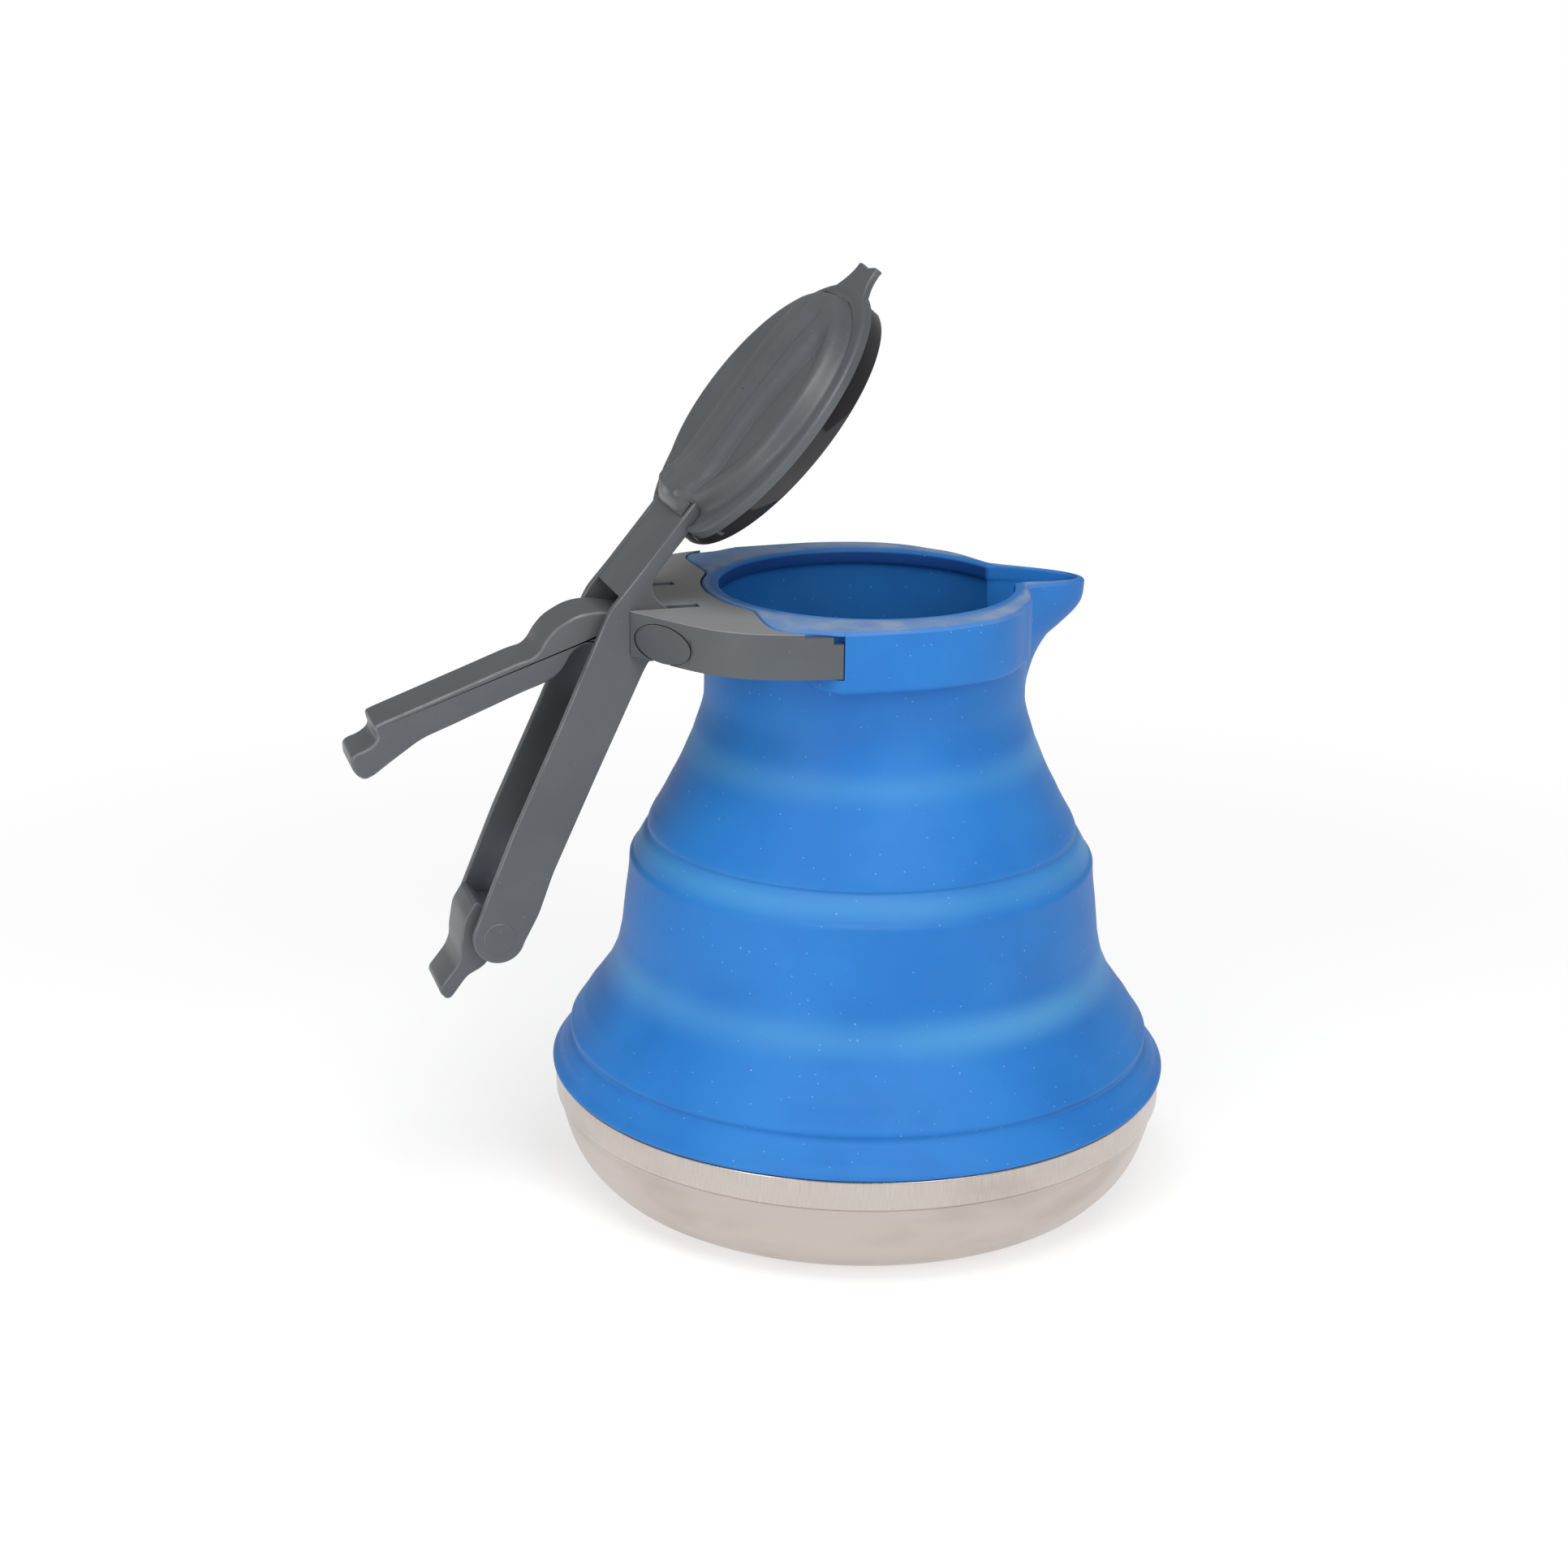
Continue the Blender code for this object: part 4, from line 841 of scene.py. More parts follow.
@dataclass
class SiliconeBody:
    """Skirt, folds and middle ring of the silicone body, cut where the CAD cuts them.

    Attributes:
        outline: (level, radius) of the outside from the skirt's foot to the neck.
        foot: (radius, level) of the skirt's foot inside the pan.
        wall: thickness.
        columns: points round the body.
        row: spacing of the rows.
        joints: levels at which the CAD cuts the body, from the skirt's foot to the neck.
    """

    outline: tuple[tuple[float, float], ...] = (
        (35.0, 89.9), (35.35, 90.35), (36.0, 90.5), (36.9, 89.9), (38.6, 88.5), (40.2, 87.55), (41.0, 87.0),
        (41.6, 86.55), (42.3, 86.1), (43.2, 85.4), (43.9, 84.75), (44.5, 84.6), (45.1, 84.8), (45.8, 85.1),
        (46.5, 85.15), (47.2, 84.75), (48.2, 84.0), (49.4, 83.2), (51.2, 82.0), (53.0, 80.9), (54.8, 79.5),
        (56.6, 78.2), (58.4, 76.9), (60.2, 75.6), (62.0, 74.5), (63.8, 73.6), (65.6, 72.8), (67.4, 72.0),
        (69.2, 71.4), (71.0, 70.9), (72.8, 70.5), (76.4, 69.8), (80.0, 69.4), (83.6, 69.0), (87.2, 68.6),
        (90.8, 68.1), (94.4, 67.7), (97.0, 67.55), (98.3, 67.45), (99.0, 67.0), (99.5, 66.35), (100.2, 66.1),
        (101.6, 65.4), (103.4, 64.4), (104.9, 63.5), (105.7, 62.75), (106.2, 62.05), (106.8, 61.9),
        (107.4, 62.2), (108.0, 62.15), (108.8, 61.85), (110.6, 61.0), (112.4, 59.9), (114.2, 58.9),
        (116.0, 57.9), (119.6, 56.1), (123.2, 54.2), (126.8, 52.5), (130.4, 51.0), (133.4, 49.7),
    )
    foot: tuple[tuple[float, float], ...] = ((86.1, 35.0), (86.1, 26.6), (88.3, 26.6), (88.3, 34.9))
    wall: float = 2.3
    columns: int = 288
    row: float = 0.55
    joints: tuple[float, ...] = (35.0, 45.0, 69.4, 107.4, 133.4)

    def band(self, low: float, high: float, foot: tuple[tuple[float, float], ...] = ()) -> Surface:
        """One band: the smooth outline between two levels, and the same line one wall nearer the axis.

        Args:
            low: lower level.
            high: upper level.
            foot: more (radius, level) points that close the profile below.

        Returns:
            The closed form.
        """
        line = curve_through(np.array(self.outline), 6)
        levels = np.linspace(low, high, int((high - low) / self.row) + 2)
        radii = np.interp(levels, line[:, 0], line[:, 1])
        outer = np.stack([radii, levels], axis=1)
        inner = outer[::-1] - (self.wall, 0.0)
        parts = [outer, inner] + ([np.array(foot)] if foot else [])
        profile = np.concatenate(parts)
        return Surface(turned_rows(profile, self.columns), grid_quads(len(profile), self.columns, True, True))

    def build(self, finishes: Finishes) -> None:
        """Make the four pieces below the neck; the two folds ride on no body.

        Args:
            finishes: the shared materials.
        """
        bottom, first, second, third, neck = self.joints
        plan = (
            ("skirt_moulding", self.band(bottom, first, self.foot), "base", "silicone_skirt"),
            ("middle_moulding", self.band(second, third), "middle", "silicone_mid_ring"),
            ("lower_fold", self.band(first, second), "", "silicone_fold_lower"),
            ("upper_fold", self.band(third, neck), "", "silicone_fold_upper"),
        )
        pieces = [
            make_piece(name, form, body, (node,), "blue_silicone", Shading.SMOOTH)
            for name, form, body, node in plan
        ]
        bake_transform(pieces[2])
        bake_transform(pieces[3])
        for piece in pieces:
            dress(piece, finishes.silicone)


@dataclass
class Collar:
    """Neck, ears, lip and spout of the silicone body.

    Attributes:
        neck: (level, radius) of the neck below the ears.
        ear: (x, y) of the ear's outer line on the near side, from the clip's end forward.
        reach: (level, distance from the axis) of the spout's ridge.
        throat: (radius, level) of the inside below the lip.
        opening: radius of the mouth.
        round_radius: radius of the neck under the ears.
        ear_low: level of the ears' underside.
        wall, spout_wall: thickness of the neck and of the spout.
        clip_wall, gap: thickness of the yoke's clip and the clearance to it.
        spout_half: half angle of the spout in degrees.
        top: level of the ears' top.
        low_edge, top_edge, lip_edge: rounding of the ears' underside, of their top and of the mouth.
        columns: points round the collar.
    """

    neck: tuple[tuple[float, float], ...] = (
        (133.4, 49.7), (134.6, 49.25), (137.6, 48.3), (141.2, 47.1), (144.8, 46.2), (148.0, 46.0),
        (154.0, 46.0), (160.9, 46.0),
    )
    ear: tuple[tuple[float, float], ...] = (
        (-24.0, -53.6), (-12.0, -54.2), (0.0, -54.4), (10.0, -52.9), (20.3, -49.5), (28.0, -44.0),
        (34.8, -35.6),
    )
    reach: tuple[tuple[float, float], ...] = (
        (140.0, 46.0), (147.0, 48.0), (154.1, 50.8), (157.6, 52.8), (161.0, 55.4), (163.9, 59.1),
        (168.1, 63.6), (171.8, 65.9), (176.6, 66.5), (178.5, 66.5),
    )
    throat: tuple[tuple[float, float], ...] = (
        (42.0, 175.8), (42.0, 175.0), (42.1, 174.5), (42.5, 174.1), (42.8, 173.5), (42.9, 172.6),
        (43.1, 168.0), (43.4, 163.0),
    )
    opening: float = 42.0
    round_radius: float = 46.0
    ear_low: float = 160.9
    wall: float = 2.4
    spout_wall: float = 3.0
    clip_wall: float = 2.6
    gap: float = 0.3
    spout_half: float = 20.0
    top: float = 178.5
    low_edge: float = 1.9
    top_edge: float = 1.1
    lip_edge: float = 0.9
    columns: int = 480

    def _off_ridge(self, place: tuple[float, float]) -> float:
        """Angle between the spout's ridge and a place on the near side."""
        return math.atan2(-place[1], place[0])

    def _ray(self, line: np.ndarray, away: np.ndarray) -> np.ndarray:
        """Distance to a line along rays from the axis: its points in polar form, joined straight.

        Args:
            line: (n, 2) points on the near side.
            away: angles of the rays off the spout's ridge.

        Returns:
            One distance per ray.
        """
        at = np.arctan2(np.abs(line[:, 1]), line[:, 0])
        order = np.argsort(at)
        dense = np.linspace(0.0, 1.0, 40)[None, :, None]
        a, b = line[order][:-1, None], line[order][1:, None]
        points = (a + (b - a) * dense).reshape(-1, 2)
        angle = np.arctan2(np.abs(points[:, 1]), points[:, 0])
        return np.interp(away, angle, np.hypot(points[:, 0], points[:, 1]))

    def _outlines(self, away: np.ndarray) -> tuple[np.ndarray, np.ndarray, np.ndarray]:
        """Plan distance of the ear's side above the clip's foot, of its cap over the clip, and below.

        Args:
            away: angles off the spout's ridge.

        Returns:
            Three distances per angle: side, cap and below.
        """
        yoke = Yoke()
        ear = self._ray(curve_through(np.array(self.ear), 8), away)
        full = curve_through(np.array(yoke.side), 8)
        seam = self._ray(curve_through(np.array(yoke.seam), 8), away) - self.gap
        end = self._off_ridge(self.ear[0])
        side = self._ray(full[full[:, 0] > -60.0], away)
        behind = away >= end
        recess = side - self.clip_wall - self.gap
        upper = np.where(behind, np.minimum(recess, seam), ear)
        ease = smooth_step(away, end, end + 0.16)
        cover = recess + (self.clip_wall + self.gap - 0.5) * (1.0 - ease)
        cap = np.where(behind, np.minimum(cover, seam), ear)
        taper = 1.0 - smooth_step(away, end - 0.02, self._off_ridge((-43.0, -46.0)))
        lower = np.where(behind, self.round_radius + (side - self.round_radius) * taper, ear)
        corner = self._off_ridge(self.ear[-1])
        ramp = smooth_step(away, math.radians(self.spout_half), corner + 0.02)
        front = self.round_radius + (math.hypot(*self.ear[-1]) - self.round_radius) * ramp
        upper, cap, lower = (np.where(away < corner, front, line) for line in (upper, cap, lower))
        return upper, cap, lower

    def form(self) -> Surface:
        """Collar shell, as rows of plan distances round the axis.

        Outside rows climb the neck, step out to the ears under a rounded edge, follow the ears' plan, and
        roll over the top. Inside rows go down from the lip. The spout adds to every row the ridge's reach at
        that level times half of one plus the cosine of the angle off the ridge, scaled so that it ends at
        the spout's half angle.

        Returns:
            The closed form, with dust on its flat top.
        """
        base = np.linspace(0.0, math.pi, self.columns // 2 + 1)
        extra = [self._off_ridge(self.ear[0]) + d for d in (-0.003, -0.0005, 0.0005, 0.003)]
        half = np.sort(np.concatenate([base, np.linspace(0.0, math.radians(22.0), 36)[1:], extra]))
        half = half[np.concatenate([[True], np.diff(half) > 1e-4])]
        turn = np.concatenate([half, -half[-2:0:-1]])
        away = np.abs(turn)
        upper, cap, lower = self._outlines(away)
        share = np.minimum(away / math.radians(self.spout_half), 1.0)
        bow = (1.0 + np.cos(math.pi * share)) / 2.0
        narrow = np.clip((bow - 0.12) / 0.88, 0.0, 1.0)
        reach = curve_through(np.array(self.reach), 6)
        least = self.round_radius

        def jut(level: float) -> float:
            """Spout reach beyond the neck at a level."""
            return max(float(np.interp(level, reach[:, 0], reach[:, 1])) - least, 0.0)

        def outside(plan: np.ndarray | float, level: float) -> tuple[np.ndarray, float]:
            """One outside row."""
            return plan + jut(level) * bow, level

        def inside(plan: float, level: float) -> tuple[np.ndarray, float]:
            """One inside row."""
            return plan + max(jut(level) + least - self.spout_wall - plan, 0.0) * narrow, level

        neck = curve_through(np.array(self.neck), 4)
        rows = [outside(r, z) for z, r in neck[:-1]]
        dust = [0.0] * len(rows)
        swell = np.maximum(lower, least) - least
        for angle in np.linspace(0.0, 0.5 * math.pi, 7):
            beyond, within = np.maximum(swell - self.low_edge, 0.0), np.minimum(swell, self.low_edge)
            level = self.ear_low + self.low_edge * (1 - math.cos(angle))
            rows.append(outside(least + beyond + within * math.sin(angle), level))
            dust.append(0.0)
        for level in np.linspace(163.4, 165.4, 3):
            rows.append(outside(np.maximum(lower, least), level))
            dust.append(0.0)
        for level in np.concatenate([np.linspace(165.5, 175.5, 9), [176.6, 177.3]]):
            rows.append(outside(np.maximum(upper, least), level))
            dust.append(0.0)
        flat = np.maximum(cap, least)
        for angle in np.linspace(0.0, 0.5 * math.pi, 7):
            plan, level = outside(flat, self.top - self.top_edge * (1 - math.sin(angle)))
            rows.append((plan - self.top_edge * (1 - math.cos(angle)), level))
            dust.append(0.25 if angle < 1.2 else 0.8)
        lip_plan, _ = inside(self.opening + self.lip_edge, self.top)
        top_plan = rows[-1][0]
        for part in (0.2, 0.5, 0.8):
            rows.append((top_plan + (lip_plan - top_plan) * part, self.top))
            dust.append(1.0)
        for angle in np.linspace(0.0, 0.5 * math.pi, 5):
            plan, _ = inside(self.opening, self.top)
            down = self.lip_edge * (1 - math.cos(angle))
            rows.append((plan + self.lip_edge * (1 - math.sin(angle)), self.top - down))
            dust.append(0.5 if angle < 0.3 else 0.0)
        for plan, level in self.throat:
            rows.append(inside(plan, level))
            dust.append(0.0)
        for level, radius in neck[:-1][::-3]:
            rows.append(inside(min(radius - self.wall, 47.3), level))
            dust.append(0.0)
        foot_level, foot_radius = self.neck[0]
        rows[-1] = inside(foot_radius - self.wall, foot_level)
        plans = np.stack([np.broadcast_to(plan, turn.shape) for plan, _ in rows])
        levels = np.array([level for _, level in rows])[:, None]
        outward = np.clip((plans - least) / 20.5, 0.0, 1.0)
        upward = np.clip((levels - self.ear_low) / 17.6, 0.0, 1.0)
        droop = 2.0 * outward * (bow > 0) * upward
        grid = np.stack([plans * np.cos(turn), plans * np.sin(turn), levels - droop], axis=-1)
        points = grid.reshape(-1, 3)
        wide = smooth_step(plans, 44.2, 45.6) * (np.array(dust)[:, None]) * (1.0 - 0.8 * bow[None, :])
        return Surface(points, grid_quads(len(rows), len(turn), True, True), [], wide.ravel())

    def build(self, finishes: Finishes) -> None:
        """Make the collar.

        Args:
            finishes: the shared materials.
        """
        node = ("silicone_collar",)
        piece = make_piece("collar_moulding", self.form(), "collar", node, "blue_silicone", Shading.CRISP)
        dress(piece, finishes.silicone)


@dataclass
class Yoke:
    """Bracket round the collar, and the heads of the hinge pins.

    Attributes:
        side: (x, y) of the outer line on the near side, from the rear cheek to the clip's end.
        seam: (x, y) of the line along which the top meets the collar, from the middle out to the side.
        low, high: levels of the underside and the top.
        clip_high: level of the clips' top, under the collar's cap.
        plate_low: level of the top plate's underside.
        wall: thickness of cheeks and clips.
        ring: outer and inner radius of the rear strip round the neck.
        cheek: front end along X of the cheeks.
        slot: inner and outer distance from the middle plane, and front end along X, of the lever's slots.
        tongue: rear end along X of the plate between the slots.
        bore: radius of the hinge bores.
        edge: rounding of the bracket's edges.
    """

    side: tuple[tuple[float, float], ...] = (
        (-72.8, -15.4), (-68.8, -22.0), (-64.8, -28.9), (-60.6, -35.6), (-56.0, -41.4), (-50.4, -46.0),
        (-44.0, -49.2), (-36.0, -51.6), (-24.3, -53.6),
    )
    seam: tuple[tuple[float, float], ...] = (
        (-47.1, 0.0), (-46.5, -7.5), (-45.1, -13.6), (-43.4, -18.2), (-41.8, -21.4), (-40.9, -24.6),
        (-41.0, -29.0), (-41.5, -35.0), (-41.6, -41.0), (-40.9, -45.2), (-39.0, -48.6), (-36.8, -50.6),
        (-34.6, -51.9),
    )
    low: float = 165.8
    high: float = 178.3
    clip_high: float = 177.2
    plate_low: float = 176.2
    wall: float = 2.6
    ring: tuple[float, float] = (49.7, 47.1)
    cheek: float = -57.5
    slot: tuple[float, float, float] = (11.3, 15.4, -53.0)
    tongue: float = -69.2
    bore: float = 5.45
    edge: float = 0.4

    def _offset(self, line: np.ndarray, depth: float) -> np.ndarray:
        """A line moved towards the axis by a depth along its own normals.

        Args:
            line: (n, 2) points.
            depth: distance moved.

        Returns:
            (n, 2) points.
        """
        along = np.gradient(line, axis=0)
        along /= np.linalg.norm(along, axis=1)[:, None]
        return line + depth * np.stack([-along[:, 1], along[:, 0]], axis=1)

    def build(self, finishes: Finishes) -> None:
        """Unite top plate, side strips and rear block, cut slots and bores, and finish the pins.

        Args:
            finishes: the shared materials.
        """
        outer = curve_through(np.array(self.side), 6)
        seam = curve_through(np.array(self.seam), 6)
        back = outer[outer[:, 0] < -34.8]
        half_plate = np.concatenate([back, seam[::-1]])
        top = np.concatenate([half_plate, half_plate[::-1][1:] * (1.0, -1.0)])
        piece = grey_piece("yoke_shell", prism(top, self.plate_low, self.high), "collar", "yoke")
        steps: list[tuple[str, Surface]] = []
        below, above = 160.0, 185.0
        rear = outer[outer[:, 0] < self.cheek]
        strip = np.concatenate([outer, self._offset(outer, self.wall)[::-1]])
        tail = math.degrees(math.atan2(17.0, -44.0))
        outside, inside = (arc((0.0, 0.0), r, tail, 2 * (180.0 - tail), 40) for r in self.ring)
        steps.append(("UNION", prism(np.concatenate([outside, inside[::-1]]), self.low, self.high - 0.6)))
        for side in (1.0, -1.0):
            beside = -self.slot[1] + 0.1
            cheek = np.concatenate([rear, [(self.cheek, beside), (self.side[0][0], beside)]]) * (1.0, side)
            steps.append(("UNION", prism(cheek, self.low, self.high - 0.5)))
            steps.append(("UNION", prism(strip * (1.0, side), self.low, self.clip_high)))
            low, high = sorted((side * self.slot[0], side * self.slot[1]))
            steps.append(("DIFFERENCE", block((-80.0, low, below), (self.slot[2], high, above))))
            bore = arc((HINGE[0], HINGE[2]), self.bore, 0.0, 354.0, 60)
            low, high = sorted((side * 14.0, side * 60.0))
            steps.append(("DIFFERENCE", prism(bore, low, high, Axis.Y)))
            low, high = sorted((side * 49.5, side * 60.0))
            steps.append(("DIFFERENCE", block((-27.0, low, 175.3), (-20.0, high, above))))
        between = self.slot[0] + 0.2
        steps.append(("DIFFERENCE", block((-80.0, -between, below), (self.tongue, between, above))))
        carve(piece, steps, 38.0)
        rounded(piece, self.edge)
        # Its flat top is pale with dust and painted top light.
        dress(piece, finishes.dust_and_top_light_plastic)
        for name in ("hinge_pin_left", "hinge_pin_right", "latch_pin"):
            dress(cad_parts[name], finishes.plastic)


@dataclass
class Lever:
    """Lid lever: two walls, the web that cups the arm and the neck plate.

    Attributes:
        upper: (x, z) of the upper-left edge from the lid down to the latch.
        lower: (x, z) of the lower-right edge from the latch up to the hinge.
        throat: (x, z) of the neck's lower edge from the hinge up to the lid.
        plate_line: (x, z) of both ends of the plate along the neck.
        half, wall: half width of the lever and thickness of its walls.
        web, neck: thickness of the web and of the plate along the neck.
        end_radius, boss_radius: radius of the end at the latch and of the boss at the hinge.
        head_radius: radius of the latch pin's heads.
        edge: rounding of the walls' edges.
    """

    upper: tuple[tuple[float, float], ...] = (
        (-48.6, 213.9), (-55.6, 205.7), (-72.0, 185.6), (-77.8, 178.9), (-79.3, 176.2), (-92.5, 146.2),
        (-106.1, 116.6),
    )
    lower: tuple[tuple[float, float], ...] = (
        (-99.1, 93.1), (-94.9, 104.7), (-83.3, 130.1), (-68.9, 161.0),
    )
    throat: tuple[tuple[float, float], ...] = (
        (-62.1, 178.4), (-65.7, 181.4), (-66.5, 185.0), (-65.3, 187.7), (-60.9, 193.1), (-57.0, 197.8),
        (-53.2, 202.9), (-46.1, 211.9),
    )
    plate_line: tuple[tuple[float, float], ...] = ((-75.1, 181.7), (-48.6, 213.85))
    half: float = 15.0
    wall: float = 2.5
    web: float = 2.0
    neck: float = 1.8
    end_radius: float = 7.3
    boss_radius: float = 7.4
    head_radius: float = 4.5
    edge: float = 0.5

    def form(self) -> Surface:
        """Lever: its side outline as two plates, a plate along the lower edge and one along the neck.

        Returns:
            The four plates as one form.
        """
        end = arc((LATCH_PIN[0], LATCH_PIN[2]), self.end_radius, 156.0, 190.0, 17)
        boss = arc((HINGE[0], HINGE[2]), self.boss_radius, -96.0, 140.0, 15)
        outline = filleted(np.concatenate([self.upper, end, self.lower, boss, self.throat]), 1.6, 4)
        inner = self.half - self.wall
        spans = ((-self.half, -inner), (inner, self.half))
        walls = [plate(outline, low, high, Axis.Y, self.edge) for low, high in spans]
        under = curve_through(np.array(self.lower), 6)[::-1]
        reach = np.hypot(under[:, 0] - HINGE[0], under[:, 1] - HINGE[2])
        under = under[(reach > 22.7) & (reach < 75.9)]
        along = np.gradient(under, axis=0)
        along /= np.linalg.norm(along, axis=1)[:, None]
        over = under + self.web * np.stack([along[:, 1], -along[:, 0]], axis=1)
        web = plate(np.concatenate([under, over[::-1]]), -inner - 0.4, inner + 0.4, Axis.Y, 0.3, 3)
        start, stop = np.array(self.plate_line)
        line = (stop - start) / np.linalg.norm(stop - start)
        down = np.array((line[1], -line[0])) * self.neck
        across = np.array((start, stop, stop + down, start + down))
        neck = plate(across, -inner - 0.6, inner + 0.6, Axis.Y, 0.1, 3)
        return merged([*walls, web, neck])

    def build(self, finishes: Finishes) -> None:
        """Make the lever.

        Args:
            finishes: the shared materials.
        """
        dress(grey_piece("lever_shell", self.form(), "lever", "lid_lever"), finishes.plastic)
        ring = arc((LATCH_PIN[0], LATCH_PIN[2]), self.head_radius, 0.0, 354.0, 60)
        heads = plate(ring, -self.half - 0.25, self.half + 0.25, Axis.Y, 0.3)
        dress(grey_piece("latch_pin_shell", heads, "lever", "latch_pin"), finishes.plastic)


@dataclass
class CarryArm:
    """Carry arm with its barrel on the hinge and its stepped nose.

    Attributes:
        outline: (x, z, fillet) of the side outline.
        half: half width.
        barrel, barrel_half: radius and half width of the barrel on the hinge.
        edge: rounding of the edges.
    """

    outline: tuple[tuple[float, float, float], ...] = (
        (-66.6, 175.4, 0.1), (-71.0, 175.6, 1.0), (-75.4, 176.3, 2.0), (-79.5, 177.0, 3.0),
        (-83.3, 176.8, 3.0), (-86.7, 175.9, 3.0), (-89.7, 174.3, 2.0), (-92.1, 172.8, 2.0),
        (-94.8, 169.9, 2.5), (-96.7, 166.6, 2.2), (-98.5, 165.0, 1.5), (-102.2, 164.1, 2.0),
        (-120.2, 157.3, 8.0), (-140.1, 149.9, 1.2), (-142.1, 149.0, 1.0), (-142.1, 147.8, 0.8),
        (-141.4, 145.5, 0.9), (-142.4, 144.0, 1.1), (-144.6, 142.5, 1.5), (-147.4, 141.6, 1.0),
        (-148.7, 140.5, 0.8), (-148.5, 137.2, 0.8), (-147.1, 135.1, 1.5), (-145.2, 134.0, 1.5),
        (-142.7, 135.0, 1.5), (-137.4, 138.9, 3.0), (-129.5, 144.4, 3.0), (-120.4, 147.9, 4.0),
        (-102.4, 155.2, 4.0), (-95.6, 157.6, 2.0), (-92.1, 159.2, 2.0), (-89.6, 162.2, 2.0),
        (-87.7, 165.8, 2.0), (-84.3, 168.2, 2.0), (-79.8, 167.5, 2.0), (-75.4, 166.9, 1.0),
        (-66.6, 166.6, 0.1),
    )
    half: float = 9.0
    barrel: float = 5.0
    barrel_half: float = 12.1
    edge: float = 0.9

    def form(self) -> Surface:
        """Arm: its side outline as one plate, and the barrel as another.

        Returns:
            Both as one form.
        """
        table = np.array(self.outline)
        blade = plate(filleted(table[:, :2], table[:, 2], 5), -self.half, self.half, Axis.Y, self.edge, 5)
        ring = arc((HINGE[0], HINGE[2]), self.barrel, 0.0, 352.5, 48)
        round_part = plate(ring, -self.barrel_half, self.barrel_half, Axis.Y, 0.3, 3)
        return merged([blade, round_part])

    def build(self, finishes: Finishes) -> None:
        """Make the arm."""
        dress(grey_piece("arm_shell", self.form(), "arm", "carry_arm"), finishes.plastic)


@dataclass
class Latch:
    """Latch hook with its thumb tab, drawn with the lid open.

    Attributes:
        outline: (x, z, fillet) of the side outline from the latch pin, lid shut.
        half: half width.
        barrel, barrel_half: radius and half width of the barrel on the pin.
        edge: rounding of the edges.
    """

    outline: tuple[tuple[float, float, float], ...] = (
        (4.2, 7.4, 0.4), (4.2, 9.2, 0.6), (3.9, 9.9, 0.4), (2.8, 10.2, 0.6), (-2.0, 9.6, 1.5),
        (-5.4, 7.7, 1.5), (-8.6, 5.8, 1.0), (-11.0, 3.9, 1.2), (-14.3, 2.95, 1.2), (-21.8, 2.85, 0.8),
        (-23.0, 1.9, 0.7), (-23.4, -0.5, 0.6), (-22.6, -1.4, 0.5), (-21.5, -1.55, 0.5), (-14.7, -1.3, 1.5),
        (-10.2, -3.3, 1.2), (-7.4, -3.5, 1.0), (-3.5, -3.5, 0.8), (1.2, -2.3, 0.8), (2.8, 2.3, 0.8),
        (1.9, 5.6, 0.8),
    )
    half: float = 9.5
    barrel: float = 5.0
    barrel_half: float = 12.2
    edge: float = 0.6

    def form(self) -> Surface:
        """Latch: its outline turned with the lid and set on the pin as a plate, and the barrel as another.

        Returns:
            Both as one form.
        """
        table = np.array(self.outline)
        c, s = math.cos(LID_ANGLE), math.sin(LID_ANGLE)
        flat = filleted(table[:, :2], table[:, 2], 5)
        x, z = flat[:, 0] * c - flat[:, 1] * s, flat[:, 0] * s + flat[:, 1] * c
        line = np.stack([x + LATCH_PIN[0], z + LATCH_PIN[2]], axis=1)
        barrel = arc((LATCH_PIN[0], LATCH_PIN[2]), self.barrel, 0.0, 352.5, 48)
        return merged([
            plate(line, -self.half, self.half, Axis.Y, self.edge),
            plate(barrel, -self.barrel_half, self.barrel_half, Axis.Y, 0.3, 3),
        ])

    def build(self, finishes: Finishes) -> None:
        """Make the latch."""
        dress(grey_piece("latch_shell", self.form(), "latch", "latch"), finishes.plastic)


